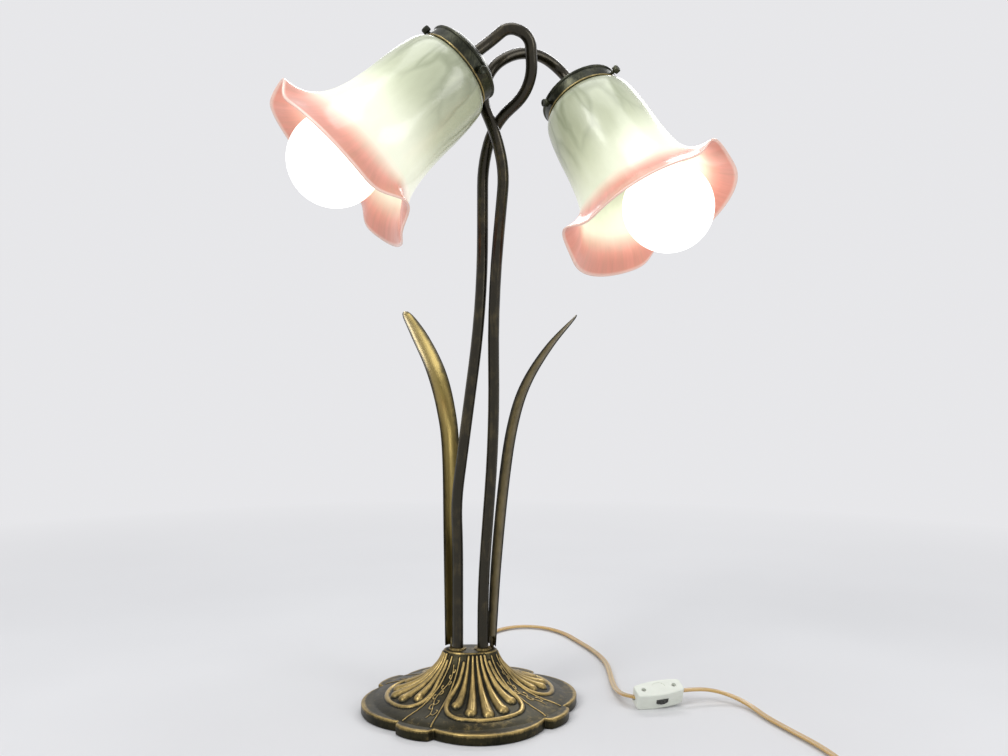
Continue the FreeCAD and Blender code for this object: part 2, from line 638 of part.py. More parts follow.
def stem_fasteners():
    roof = NECK_HEIGHT - PLATFORM_THICKNESS
    bore = STEM_DIAMETER / 2 + STEM_FIT
    washer = tube(WASHER_RADIUS, bore, roof - WASHER_THICKNESS, roof)
    nut_top = roof - WASHER_THICKNESS
    nut = hex_nut(LOCKNUT_FLATS, bore, nut_top - LOCKNUT_THICKNESS, nut_top)
    shifts = [Vector(side * STEM_SPACING / 2, 0, 0) for side in (-1, 1)]
    return ([washer.translated(shift) for shift in shifts],
            [nut.translated(shift) for shift in shifts])


# ---- Leaves ---------------------------------------------------------------------------------
def leaf_section(centre, along, across, width, thickness, trough):
    """Closed channel-shaped section, hollow on the side that faces the stems."""
    out = unit(across.cross(along))
    half = width / 2
    left = centre - across * half
    right = centre + across * half
    keel = centre + out * trough
    inner = centre + out * (trough - thickness)
    lip = out * (-thickness * 0.5)
    edges = [Part.Arc(left, keel, right).toShape(),
             Part.LineSegment(right, right + lip).toShape(),
             Part.Arc(right + lip, inner, left + lip).toShape(),
             Part.LineSegment(left + lip, left).toShape()]
    return Part.Wire(edges)


def leaf(data):
    foot_x, foot_y = data["foot"]
    lean = bearing_vector(data["bearing"])
    across = UP.cross(lean)
    centres = [Vector(foot_x, foot_y, height) + lean * out for height, out in data["midline"]]
    sections = []
    for k, (centre, share) in enumerate(zip(centres, data["taper"])):
        ahead = centres[min(k + 1, len(centres) - 1)] - centres[max(k - 1, 0)]
        sections.append(leaf_section(centre, unit(ahead), across, LEAF_WIDTH * share,
                                     LEAF_THICKNESS, LEAF_TROUGH * share))
    blade = lofted(sections)
    stud = rod(LEAF_STUD_RADIUS, NECK_HEIGHT - LEAF_STUD_LENGTH,
               NECK_HEIGHT + LEAF_STUD_RISE, foot_x, foot_y)
    return blade.fuse(stud)


# ---- Heads: holder, collar, nut, thumbscrews -------------------------------------------------
def head_frames(head):
    """Frames of a head: the holder's at its rim, and the stem end's at the holder's top."""
    top = Vector(*head["top"])
    axis = bearing_vector(*head["holder"])
    rim = frame_along(top + axis * HOLDER_HEIGHT, axis, FRONT)
    stem_end = frame_along(top, bearing_vector(*head["stem"]), FRONT)
    return rim, stem_end


def holder():
    """Spun cup, rim at level 0 and crown at minus its height."""
    bore = STEM_DIAMETER / 2 + HOLDER_HOLE_CLEARANCE
    outer, sheet = HOLDER_RADIUS, HOLDER_SHEET
    wall, top = -HOLDER_WALL_HEIGHT, -HOLDER_HEIGHT
    foot, middle = HOLDER_SHOULDER
    foot_inside, middle_inside = HOLDER_SHOULDER_INSIDE
    return turned((outer - sheet, 0), (outer, 0), (outer, wall + HOLDER_RIDGE_START),
                  ((outer + HOLDER_RIDGE, wall), foot),
                  (middle, (HOLDER_FLAT_RADIUS, top)),
                  (bore, top), (bore, top + sheet), (HOLDER_FLAT_RADIUS, top + sheet),
                  (middle_inside, foot_inside),
                  (outer - sheet, HOLDER_WALL_INSIDE))


def holder_group(head, side):
    rim, stem_end = head_frames(head)
    cup = placed(holder(), rim)
    bore = STEM_DIAMETER / 2 + STEM_FIT
    far = 4 * HOLDER_RADIUS
    above = placed(rod(far, -HOLDER_HEIGHT - far, -HOLDER_HEIGHT), rim)
    below = placed(rod(far, -HOLDER_HEIGHT + HOLDER_SHEET, far), rim)
    corner = COLLAR_ROUND * (1 - math.sqrt(0.5))
    sleeve = turned((bore, -COLLAR_HEIGHT), (COLLAR_RADIUS - COLLAR_ROUND, -COLLAR_HEIGHT),
                    ((COLLAR_RADIUS - corner, -COLLAR_HEIGHT + corner),
                     (COLLAR_RADIUS, -COLLAR_HEIGHT + COLLAR_ROUND)),
                    (COLLAR_RADIUS, COLLAR_INSIDE), (bore, COLLAR_INSIDE))
    collar = placed(sleeve, stem_end).common(above)
    nut = placed(hex_nut(HOLDER_NUT_FLATS, bore, 0, HOLDER_SHEET + HOLDER_NUT_THICKNESS),
                 stem_end).common(below)
    screws = []
    holes = []
    for k in range(THUMBSCREW_COUNT):
        angle = head["screw"] + k * 360.0 / THUMBSCREW_COUNT
        direction = polar(1.0, angle, 0.0)
        seat = frame_along(Vector(0, 0, -THUMBSCREW_LEVEL), direction, UP)
        screws.append(placed(placed(thumbscrew(), seat), rim))
        hole = rod(THUMBSCREW_RADIUS + THUMBSCREW_FIT, HOLDER_RADIUS - 2 * HOLDER_SHEET,
                   HOLDER_RADIUS + HOLDER_SHEET)
        holes.append(placed(placed(hole, seat), rim))
    save(side + "_holder", cup.cut(holes))
    save(side + "_collar", collar)
    for k, screw in enumerate(screws):
        save("%s_thumbscrew_%d" % (side, k + 1), screw)
    return nut


def thumbscrew():
    """Screw along Z from the glass to its round head."""
    head_start = HOLDER_RADIUS + THUMBSCREW_NECK
    head_end = head_start + THUMBSCREW_HEAD_LENGTH
    edge = THUMBSCREW_HEAD_RADIUS
    tip = FITTER_RADIUS + THUMBSCREW_FIT
    inner, outer = THUMBSCREW_BEVELS
    return turned((0, tip), (THUMBSCREW_RADIUS, tip), (THUMBSCREW_RADIUS, head_start),
                  (edge - inner, head_start), (edge, head_start + inner),
                  (edge, head_end - outer), (edge - outer, head_end), (0, head_end))


# ---- Glass shade ---------------------------------------------------------------------------
def shade_outline(angle):
    """Outer points of the glass at an angle from a point of the lip, neck to lip."""
    weight = ((1 + math.cos(math.radians(POINT_COUNT * angle))) / 2) ** POINT_SHARPNESS
    flare = [(lobe[0] + weight * (point[0] - lobe[0]), lobe[1] + weight * (point[1] - lobe[1]))
             for lobe, point in zip(LOBE_FLARE, POINT_FLARE)]
    lip = (LIP_RADIUS + weight * (POINT_RADIUS - LIP_RADIUS),
           LIP_LEVEL + weight * (POINT_LEVEL - LIP_LEVEL))
    return [*SHADE_BODY, *flare, lip]


def meridian(angle):
    """Closed section of the glass in the half plane at an angle."""
    outer = shade_outline(angle)
    inner = []
    for k, (radius, level) in enumerate(outer):
        before = outer[max(k - 1, 0)]
        after = outer[min(k + 1, len(outer) - 1)]
        run, rise = after[0] - before[0], after[1] - before[1]
        length = math.hypot(run, rise)
        thick = GLASS_THICKNESS - LIP_THINNING * max(0, k - len(outer) + LIP_THINNING_POINTS)
        inner.append((radius - rise / length * thick, level + run / length * thick))

    def at(radius, level):
        return polar(radius, angle, level)

    outer_curve = Part.BSplineCurve()
    outer_curve.interpolate([at(*point) for point in outer])
    inner_curve = Part.BSplineCurve()
    inner_curve.interpolate([at(*point) for point in reversed(inner)])
    neck = [at(inner[0][0], FITTER_TOP), at(outer[0][0], FITTER_TOP)]
    return Part.Wire([Part.LineSegment(neck[1], at(*outer[0])).toShape(),
                      outer_curve.toShape(),
                      Part.LineSegment(at(*outer[-1]), at(*inner[-1])).toShape(),
                      inner_curve.toShape(),
                      Part.LineSegment(at(*inner[0]), neck[0]).toShape(),
                      Part.LineSegment(neck[0], neck[1]).toShape()])


def shade():
    sector = 360.0 / POINT_COUNT
    steps = list(SHADE_STEPS) + [sector - step for step in reversed(SHADE_STEPS[1:-1])]
    angles = [k * sector + step for k in range(POINT_COUNT) for step in steps]
    bell = Part.makeLoft([meridian(angle) for angle in angles], True, False, True)
    root = FITTER_RADIUS - 0.6
    return bell.fuse(turned((root, FITTER_TOP + 0.1), (FITTER_RADIUS, FITTER_TOP + 0.1),
                            ((FITTER_RADIUS + FITTER_BEAD, FITTER_TOP + 1.2),
                             (FITTER_RADIUS, FITTER_TOP + 2.3)), (root, FITTER_TOP + 2.3)))


# ---- Socket and bulb, along the stem's end ---------------------------------------------------
def socket_parts():
    outer, sheet = SOCKET_RADIUS, SOCKET_SHEET
    bore = STEM_DIAMETER / 2 + STEM_FIT
    start, brim = SOCKET_CAP_START, SOCKET_CAP_START + SOCKET_CAP_HEIGHT
    hub, hub_height = SOCKET_CAP_HUB
    dome, shoulder = [(radius, start + height) for radius, height in SOCKET_CAP_DOME]
    dome_inside, shoulder_inside = [(radius, start + height) for radius, height
                                    in SOCKET_CAP_DOME_INSIDE]
    hub_inside = start + SOCKET_CAP_HUB_INSIDE
    cap = turned((bore, start), (hub, start), (hub, start + hub_height), (dome, shoulder),
                 (outer, brim), (outer - sheet, brim), shoulder_inside,
                 (dome_inside, (hub, hub_inside)), (bore, hub_inside))
    neck = outer - sheet - 2 * SOCKET_FIT
    seam = brim + SOCKET_SEAM
    shell = turned((neck - sheet, brim - SOCKET_LAP), (neck, brim - SOCKET_LAP), (neck, seam),
                   (outer, seam), (outer, SOCKET_SHELL_END), (outer - sheet, SOCKET_SHELL_END),
                   (outer - sheet, seam + sheet), (neck - sheet, seam + sheet))
    screw_inner = BULB_CAP_RADIUS + BULB_RUNNING_GAP
    screw_outer = screw_inner + SCREW_SHELL_THICKNESS
    wall = outer - sheet - SOCKET_FIT
    floor = INSULATOR_START + INSULATOR_FLOOR
    insulator = turned((0, INSULATOR_START), (wall, INSULATOR_START), (wall, INSULATOR_END),
                       (screw_outer + SOCKET_FIT, INSULATOR_END),
                       (screw_outer + SOCKET_FIT, floor), (0, floor))
    screw_shell = tube(screw_outer, screw_inner, floor, SCREW_SHELL_END)
    spring = BULB_TIP - CONTACT_GAP
    contact = turned((0, floor), (CONTACT_RADIUS, floor),
                     (CONTACT_RADIUS, floor + CONTACT_THICKNESS),
                     (CONTACT_RADIUS / 2, spring), (0, spring))
    return {"socket_cap": cap, "socket_shell": shell, "socket_insulator": insulator,
            "screw_shell": screw_shell, "centre_contact": contact}


def bulb_parts():
    """Screw cap, glass globe and the mount of the filament."""
    cap_radius, tube_radius = BULB_CAP_RADIUS, BULB_TUBE_RADIUS
    foot = [(radius, BULB_TIP + height) for radius, height in BULB_FOOT]
    inside = [(radius, BULB_TIP + height) for radius, height in BULB_FOOT_INSIDE]
    cap = turned((0, BULB_TIP), *foot, (cap_radius, BULB_CAP_END),
                 (tube_radius + SOCKET_FIT, BULB_CAP_END), *inside)
    seam = BULB_CAP_END + GLOBE_SEAM
    across, up = GLOBE_NECK_CURVE
    slope = math.radians(-GLOBE_SIDE_ANGLE)
    outline = []
    for radius, inset in ((GLOBE_RADIUS, 0.0), (GLOBE_RADIUS - GLOBE_GLASS, GLOBE_GLASS)):
        neck = GLOBE_NECK_RADIUS - inset
        join = BULB_CENTRE - math.sqrt(radius ** 2 - neck ** 2)
        middle = (tube_radius - inset + across * (neck - tube_radius + inset),
                  BULB_CAP_END + up * (join - BULB_CAP_END))
        side = (radius * math.cos(slope), BULB_CENTRE + radius * math.sin(slope))
        outline.append((middle, (neck, join), side, (0, BULB_CENTRE + radius)))
    (mid_out, join_out, side_out, top_out), (mid_in, join_in, side_in, top_in) = outline
    bore = tube_radius - GLOBE_GLASS
    globe = turned((bore, BULB_TUBE_START), (tube_radius, BULB_TUBE_START),
                   (tube_radius, seam), (mid_out, join_out), (side_out, top_out), top_in,
                   (side_in, join_in), (mid_in, (bore, seam)))
    plug = rod(bore - SOCKET_FIT, *[BULB_TUBE_START + rise for rise in MOUNT_PLUG])
    post = rod(MOUNT_POST_RADIUS, BULB_TUBE_START + 2, MOUNT_TOP)
    wire_level = MOUNT_TOP + MOUNT_RISE
    loop = Part.makeTorus(MOUNT_LOOP_RADIUS, MOUNT_WIRE_RADIUS, UP * wire_level, UP)
    arm = Part.makeCylinder(MOUNT_WIRE_RADIUS, 2 * MOUNT_LOOP_RADIUS,
                            Vector(-MOUNT_LOOP_RADIUS, 0, wire_level), Vector(1, 0, 0))
    riser = rod(MOUNT_RISER_RADIUS, MOUNT_TOP - 1, wire_level)
    mount = plug.fuse([post, riser, loop, arm])
    return {"bulb_cap": cap, "bulb_globe": globe, "bulb_mount": mount}


def lead(bends, head):
    points = stem_route(bends, head)
    points[0] = (points[0][0], points[0][1], LEAD_BOTTOM)
    points[-1] = tuple(Vector(*head["top"]) + bearing_vector(*head["stem"]) * LEAD_END)
    wire, _ = rounded_route(points, STEM_ARC_SHARE)
    return swept(wire, LEAD_DIAMETER / 2)


def head_parts(side, bends):
    head = HEADS[side]
    rim, stem_end = head_frames(head)
    nut = holder_group(head, side)
    turn = Matrix()
    turn.rotateZ(math.radians(head["point"]))
    save(side + "_shade", placed(placed(shade(), turn), rim))
    for name, shape in {**socket_parts(), **bulb_parts()}.items():
        save("%s_%s" % (side, name), placed(shape, stem_end))
    save(side + "_lead", lead(bends, head))
    return nut


# ---- Cord, bushing and connectors ---------------------------------------------------------------
def bushing():
    """Flange and long nose along Z, from inside the rim outwards."""
    bore = CORD_DIAMETER / 2 + CORD_FIT
    return turned((bore, -BUSHING_INSIDE), (BUSHING_RADIUS, -BUSHING_INSIDE),
                  (BUSHING_RADIUS, 0), (BUSHING_FLANGE, 0),
                  (BUSHING_FLANGE, BUSHING_FLANGE_THICKNESS),
                  (BUSHING_RADIUS, BUSHING_FLANGE_THICKNESS * 1.5),
                  (BUSHING_TIP_RADIUS, BUSHING_OUTSIDE),
                  (bore, BUSHING_OUTSIDE))


def connector():
    """Twist-on connector that hangs on the end of a lead."""
    top = LEAD_BOTTOM - CONNECTOR_GAP
    cone = Part.makeCone(CONNECTOR_NOSE_RADIUS, CONNECTOR_RADIUS,
                         CONNECTOR_LENGTH - CONNECTOR_SKIRT, UP * (top - CONNECTOR_LENGTH))
    return cone.fuse(rod(CONNECTOR_RADIUS, top - CONNECTOR_SKIRT, top))


def cord_run(points, name):
    wire, radii = rounded_route(points, CORD_ARC_SHARE)
    cord = swept(wire, CORD_DIAMETER / 2)
    section = math.pi * (CORD_DIAMETER / 2) ** 2
    print("%s: length %.1f, volume %.0f of %.0f, bend radii %s" % (
        name, wire.Length, cord.Volume, section * wire.Length,
        " ".join("%.0f" % radius for radius in radii)))
    return cord


# ---- Switch ----------------------------------------------------------------------------------------
def switch_frame():
    along = bearing_vector(SWITCH_BEARING, -SWITCH_PITCH)
    across = unit(UP.cross(along))
    face = along.cross(across)
    tilt = math.radians(SWITCH_TILT)
    leaning = face * math.cos(tilt) - across * math.sin(tilt)
    centre = Vector(*SWITCH_CENTRE)
    side = leaning.cross(along)
    return Matrix(along.x, side.x, leaning.x, centre.x, along.y, side.y, leaning.y, centre.y,
                  along.z, side.z, leaning.z, centre.z, 0, 0, 0, 1)


def switch_block(inset):
    """Solid with the switch's outline, smaller all round by the inset."""
    x = SWITCH_LENGTH / 2 - inset
    end = SWITCH_END_WIDTH / 2 - inset
    side = SWITCH_WIDTH / 2 - inset
    z = -SWITCH_HEIGHT / 2 + inset
    corners = [Vector(-x, -end, z), Vector(x, -end, z), Vector(x, end, z), Vector(-x, end, z)]
    wire = Part.Wire([Part.Arc(corners[0], Vector(0, -side, z), corners[1]).toShape(),
                      Part.LineSegment(corners[1], corners[2]).toShape(),
                      Part.Arc(corners[2], Vector(0, side, z), corners[3]).toShape(),
                      Part.LineSegment(corners[3], corners[0]).toShape()])
    return Part.Face(wire).extrude(UP * (SWITCH_HEIGHT - 2 * inset))


def switch_parts(cords):
    body = switch_block(0.0)
    upright = [edge for edge in body.Edges if abs(edge.tangentAt(edge.FirstParameter).z) > 0.9]
    body = body.makeFillet(SWITCH_CORNER, upright)
    rims = [edge for edge in body.Edges
            if abs(abs(edge.BoundBox.Center.z) - SWITCH_HEIGHT / 2) < 1e-6]
    body = body.makeFillet(SWITCH_ROUND, rims)
    shell = body.cut(switch_block(SWITCH_WALL))
    half = SWITCH_HEIGHT / 2
    posts = [rod(SWITCH_POST_RADIUS, -half + 1, half - 1, side * SWITCH_SCREW_X, 0)
             for side in (-1, 1)]
    shell = shell.fuse(posts)
    wheel_y = -(SWITCH_WIDTH / 2 + WHEEL_PROUD - WHEEL_RADIUS)
    slot_half = WHEEL_THICKNESS / 2 + WHEEL_SLOT_GAP
    shell = shell.cut(rod(WHEEL_RADIUS + WHEEL_SLOT_GAP, -slot_half, slot_half, 0, wheel_y))
    axle_half = half - SWITCH_WALL
    screws = []
    holes = [Part.makeCylinder(SWITCH_ARC_RADIUS, 1, UP * (half - SWITCH_ARC_DEPTH), UP,
                               SWITCH_ARC_ANGLE).cut(
        rod(SWITCH_ARC_RADIUS - SWITCH_ARC_WIDTH, 0, half + 1))]
    for side in (-1, 1):
        x = side * SWITCH_SCREW_X
        head_top = half - SWITCH_SCREW_SINK
        seat, tip = head_top - SWITCH_SCREW_HEAD_HEIGHT, SWITCH_SCREW_TIP - half
        head = rod(SWITCH_SCREW_HEAD_RADIUS, seat, head_top, x)
        screws.append(head.fuse(rod(SWITCH_SCREW_RADIUS, tip, seat + SCREW_FIT, x)))
        holes.append(rod(SWITCH_SCREW_HEAD_RADIUS + SCREW_FIT, seat, half + 1, x))
        holes.append(rod(SWITCH_SCREW_RADIUS + SCREW_FIT, tip - 2 * SCREW_FIT, half, x))
    shell = shell.cut(holes)
    shell = placed(shell, switch_frame())
    shell = shell.cut([swept(rounded_route(points, CORD_ARC_SHARE)[0],
                             CORD_DIAMETER / 2 + CORD_FIT) for points in cords])
    box = Part.makeBox(2 * SWITCH_LENGTH, 2 * SWITCH_LENGTH, SWITCH_LENGTH)
    box.translate(Vector(-SWITCH_LENGTH, -SWITCH_LENGTH, SWITCH_SEAM / 2))
    upper = shell.common(placed(box, switch_frame()))
    box.translate(Vector(0, 0, -SWITCH_LENGTH - SWITCH_SEAM))
    lower = shell.common(placed(box, switch_frame()))
    wheel = rod(WHEEL_RADIUS, -WHEEL_THICKNESS / 2, WHEEL_THICKNESS / 2, 0, wheel_y)
    notches = [rod(WHEEL_TOOTH_DEPTH, -half, half,
                   WHEEL_RADIUS * math.cos(2 * math.pi * k / WHEEL_TEETH),
                   wheel_y + WHEEL_RADIUS * math.sin(2 * math.pi * k / WHEEL_TEETH))
               for k in range(WHEEL_TEETH)]
    wheel = wheel.cut(notches + [rod(AXLE_RADIUS + AXLE_FIT, -half, half, 0, wheel_y)])
    axle = rod(AXLE_RADIUS, -axle_half + SOCKET_FIT, axle_half - SOCKET_FIT, 0, wheel_y)
    contacts = []
    length, width, thickness = SWITCH_CONTACT
    for side in (-1, 1):
        corner = Vector(side * SWITCH_CONTACT_X, -width / 4, -axle_half)
        strip = Part.makeBox(length, width, thickness, corner - Vector(length / 2, 0, 0))
        tongue = Part.makeBox(thickness, width, width, corner - Vector(thickness / 2, 0, 0))
        contacts.append(strip.fuse(tongue))
    frame = switch_frame()
    return (upper, lower, placed(wheel, frame), placed(axle, frame),
            [placed(contact, frame) for contact in contacts],
            [placed(screw, frame) for screw in screws])


# ---- Coil, ties and plug ------------------------------------------------------------------------------
def coil_wire():
    """Half turns in two layers; one half turn climbs from the lower to the upper layer."""
    centre = Vector(*COIL_CENTRE, COIL_FLOOR_LINE)
    marks = [centre + Vector(x, 0, layer * COIL_LAYER_RISE) for x, layer in COIL_MARKS]
    edges = [Part.LineSegment(marks[0] + Vector(0, COIL_END, 0), marks[0]).toShape()]
    for k, (here, there) in enumerate(zip(marks, marks[1:])):
        side = -1 if k % 2 == 0 else 1
        middle = (here + there) * 0.5 + Vector(0, side * here.distanceToPoint(there) / 2, 0)
        edges.append(Part.Arc(here, middle, there).toShape())
    edges.append(Part.LineSegment(marks[-1], marks[-1] - Vector(0, COIL_END, 0)).toShape())
    return Part.Wire(edges)


def coil():
    wire = coil_wire()
    coil_tube = swept(wire, CORD_DIAMETER / 2)
    points = wire.discretize(Distance=3.0)
    apart = int(12 * CORD_DIAMETER / 3.0)
    least = min(a.distanceToPoint(b) for k, a in enumerate(points)
                for b in points[k + apart:])
    section = math.pi * (CORD_DIAMETER / 2) ** 2
    print("coil: length %.1f, volume %.0f of %.0f, least gap to itself %.2f" % (
        wire.Length, coil_tube.Volume, section * wire.Length, least - CORD_DIAMETER))
    return coil_tube


def ties():
    top = COIL_FLOOR_LINE + COIL_LAYER_RISE + CORD_DIAMETER / 2 + TIE_GAP
    bottom = COIL_FLOOR_LINE - CORD_DIAMETER / 2 - TIE_GAP
    x = COIL_CENTRE[0] - TIE_WIDTH / 2
    loops = []
    for side in (-1, 1):
        low, high = sorted((side * TIE_INNER, side * TIE_OUTER))
        y = COIL_CENTRE[1] + low
        hole = Part.makeBox(TIE_WIDTH + 2, high - low, top - bottom, Vector(x - 1, y, bottom))
        block = Part.makeBox(TIE_WIDTH, high - low + 2 * TIE_THICKNESS,
                             top - bottom + 2 * TIE_THICKNESS,
                             Vector(x, y - TIE_THICKNESS, bottom - TIE_THICKNESS))
        loops.append(block.cut(hole))
    return loops


def plug_parts(cord_end):
    x = cord_end.x
    y = PLUG_START_Y
    nose, half = PLUG_NOSE_WIDTH / 2, PLUG_WIDTH / 2
    shoulder = y - PLUG_NOSE_LENGTH
    end = y - PLUG_LENGTH
    points = [(x - nose, y), (x + nose, y), (x + half, shoulder), (x + half, end),
              (x - half, end), (x - half, shoulder), (x - nose, y)]
    body = Part.Face(Part.makePolygon([Vector(px, py, PLUG_LIFT) for px, py in points]))
    body = body.extrude(UP * PLUG_HEIGHT)
    upright = [edge for edge in body.Edges if abs(edge.tangentAt(edge.FirstParameter).z) > 0.9]
    body = body.makeFillet(PLUG_CORNER, upright)
    rims = [edge for edge in body.Edges
            if edge.BoundBox.ZLength < 1e-6]
    body = body.makeFillet(PLUG_EDGE, rims)
    middle = cord_end.z
    blades = []
    for side, width in zip((-1, 1), BLADE_WIDTHS):
        corner = Vector(x + side * BLADE_SPACING / 2 - BLADE_THICKNESS / 2,
                        end - BLADE_LENGTH, middle - width / 2)
        blades.append(Part.makeBox(BLADE_THICKNESS, BLADE_LENGTH + BLADE_ROOT, width, corner))
    return body.cut(blades), blades


# ---- Every node of the lamp --------------------------------------------------------------------------
os.makedirs("parts", exist_ok=True)
save("base_casting", base_casting())
felt, cover, screws, ballast = underside()
save("felt_pad", felt)
save("base_cover_plate", cover)
save("cover_screws", *screws)
save("ballast_ring", ballast)
washers, nuts = stem_fasteners()
save("stem_washers", *washers)
save("stem_locknuts", *nuts)
save("left_stem", stem(LEFT_STEM_BENDS, HEADS["left"], "left"))
save("right_stem", stem(RIGHT_STEM_BENDS, HEADS["right"], "right"))
save("left_leaf", leaf(LEFT_LEAF))
save("right_leaf", leaf(RIGHT_LEAF))
left_nut = head_parts("left", LEFT_STEM_BENDS)
right_nut = head_parts("right", RIGHT_STEM_BENDS)
save("holder_nuts", left_nut, right_nut)

seat = frame_along(Vector(CORD_X, BUSHING_SEAT_Y, CORD_EXIT_HEIGHT), Vector(0, 1, 0), UP)
save("cord_bushing", placed(bushing(), seat))
inner_y = BUSHING_SEAT_Y - BUSHING_INSIDE
tail = Part.makeCylinder(TAIL_DIAMETER / 2, inner_y - COIL_JOINT_GAP - TAIL_END_Y,
                         Vector(CORD_X, TAIL_END_Y, TAIL_HEIGHT), Vector(0, 1, 0))
save("cord_tail", tail)
side_shift = Vector(STEM_SPACING / 2, 0, 0)
save("wire_connectors", connector().translated(side_shift), connector().translated(-side_shift))

along = bearing_vector(SWITCH_BEARING, -SWITCH_PITCH)
reach = along * (SWITCH_LENGTH / 2 - CORD_IN_SWITCH)
first_points = [(CORD_X, inner_y, CORD_EXIT_HEIGHT), *FIRST_ROUTE,
                tuple(Vector(*SWITCH_CENTRE) - reach)]
coil_start = Vector(*COIL_CENTRE, COIL_FLOOR_LINE) + Vector(COIL_MARKS[0][0], COIL_END, 0)
second_points = [tuple(Vector(*SWITCH_CENTRE) + reach), *SECOND_ROUTE,
                 tuple(coil_start + Vector(0, COIL_JOINT_GAP, 0))]
coil_finish = (Vector(*COIL_CENTRE, COIL_FLOOR_LINE + COIL_LAYER_RISE)
               + Vector(COIL_MARKS[-1][0], -COIL_END - COIL_JOINT_GAP, 0))
end_points = [tuple(coil_finish), *END_ROUTE, END_ROUTE_FINISH]
save("cord_to_switch", cord_run(first_points, "cord to the switch"))
save("cord_from_switch", cord_run(second_points, "cord from the switch"))
end_run = cord_run(end_points, "cord to the plug")
save("cord_to_plug", end_run)
save("cord_coil", coil())
save("coil_ties", *ties())
upper, lower, wheel, axle, contacts, switch_screws = switch_parts((first_points, second_points))
save("switch_upper_shell", upper)
save("switch_lower_shell", lower)
save("switch_wheel", wheel)
save("switch_axle", axle)
save("switch_contacts", *contacts)
save("switch_screws", *switch_screws)
plug, blades = plug_parts(Vector(*END_ROUTE_FINISH))
save("plug_body", plug.cut(swept(rounded_route(end_points, CORD_ARC_SHARE)[0],
                                 CORD_DIAMETER / 2 + CORD_FIT)))
save("plug_blades", *blades)
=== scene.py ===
import bpy
import math
import numpy as np
from mathutils import Matrix, Vector


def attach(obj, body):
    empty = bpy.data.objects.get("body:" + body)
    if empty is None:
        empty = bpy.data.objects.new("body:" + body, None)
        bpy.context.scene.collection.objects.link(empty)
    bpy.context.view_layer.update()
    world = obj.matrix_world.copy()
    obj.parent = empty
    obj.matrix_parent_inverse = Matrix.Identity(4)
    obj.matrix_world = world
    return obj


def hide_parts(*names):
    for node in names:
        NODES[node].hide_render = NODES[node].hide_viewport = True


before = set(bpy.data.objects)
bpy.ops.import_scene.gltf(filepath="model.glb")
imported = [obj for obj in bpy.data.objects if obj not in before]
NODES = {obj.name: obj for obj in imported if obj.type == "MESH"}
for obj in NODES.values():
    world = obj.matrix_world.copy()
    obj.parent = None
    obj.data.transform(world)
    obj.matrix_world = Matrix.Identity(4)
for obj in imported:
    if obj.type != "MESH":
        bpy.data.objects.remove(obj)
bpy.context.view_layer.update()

# The dressed model of a table lamp with two tulip shades. Metres, +Z up, front faces -Y.
MM = 0.001

# ---- Camera -------------------------------------------------------------------------------
CAMERA_PLACE = (0.0314, -0.885, 0.305)
CAMERA_LENS = 33.93
CAMERA_SENSOR = 36.0

FLOOR_HALF = 6.0
PALE = (0.80, 0.80, 0.82)      # of the background as the camera sees it
SKY = (0.34, 0.35, 0.37)       # of the world as it lights the object
# Name, place, target, width, height and power of each area light.
LIGHTS = (("key_light", (-1.3, -1.5, 1.7), (0, 0, 0.3), 0.9, 1.2, 26.0),
          ("fill_light", (1.7, -1.2, 1.0), (0, 0, 0.3), 0.8, 1.3, 12.0),
          ("back_light", (0.3, 1.6, 1.6), (0, 0, 0.4), 1.6, 0.5, 13.0),
          ("top_light", (0.0, -0.2, 2.1), (0, 0, 0.0), 1.2, 1.2, 12.0))

# ---- Cord ---------------------------------------------------------------------------------
CORD_DIAMETER = 0.0056
CORD_THICKNESS = 0.0028
CORD_EXIT = (4.0, 89.5, 5.0)
FIRST_ROUTE = ((4.0, 146.0, 5.0), (5.5, 184.0, 2.8), (10.0, 222.0, 2.8),
               (20.0, 252.0, 2.8), (48.0, 274.0, 2.8), (80.0, 268.0, 2.8),
               (103.0, 241.0, 2.8), (117.0, 205.0, 2.8), (131.0, 168.0, 2.8),
               (140.0, 128.0, 2.8), (140.0, 90.0, 2.8), (139.0, 58.0, 2.8),
               (139.5, 34.0, 4.0), (142.0, 14.0, 6.5), (147.5, -0.5, 9.0))
SECOND_ROUTE = ((212.0, 8.2, 13.0), (232.0, 11.5, 10.0), (249.0, 4.0, 6.0),
                (259.0, -13.0, 3.4), (265.0, -38.0, 2.8), (277.0, -70.0, 2.8),
                (290.0, -102.0, 2.8), (297.0, -132.0, 3.0), (298.6, -165.0, 3.5))
SWITCH_CENTRE = Vector((174.5, -2.5, 11.3))
SWITCH_BEARING = 15.0
SWITCH_PITCH = 4.0
SWITCH_HELD = 20.0             # from the switch's middle to the end of each cord
COIL_CENTRE = (338.6, -197.0)
COIL_FLOOR_LINE = 3.5
COIL_LAYER_RISE = 6.2
COIL_END = 5.6
COIL_MARKS = ((-40.0, 0), (40.0, 0), (-33.8, 0), (33.8, 0), (-27.6, 0), (27.6, 0),
              (-21.4, 1), (30.7, 1), (-30.7, 1), (36.9, 1), (-36.9, 1))
COIL_POINTS = 10               # points of the route on each half turn
END_ROUTE = ((301.7, -220.0, 9.7), (302.4, -239.0, 8.6), (303.1, -257.0, 7.6))

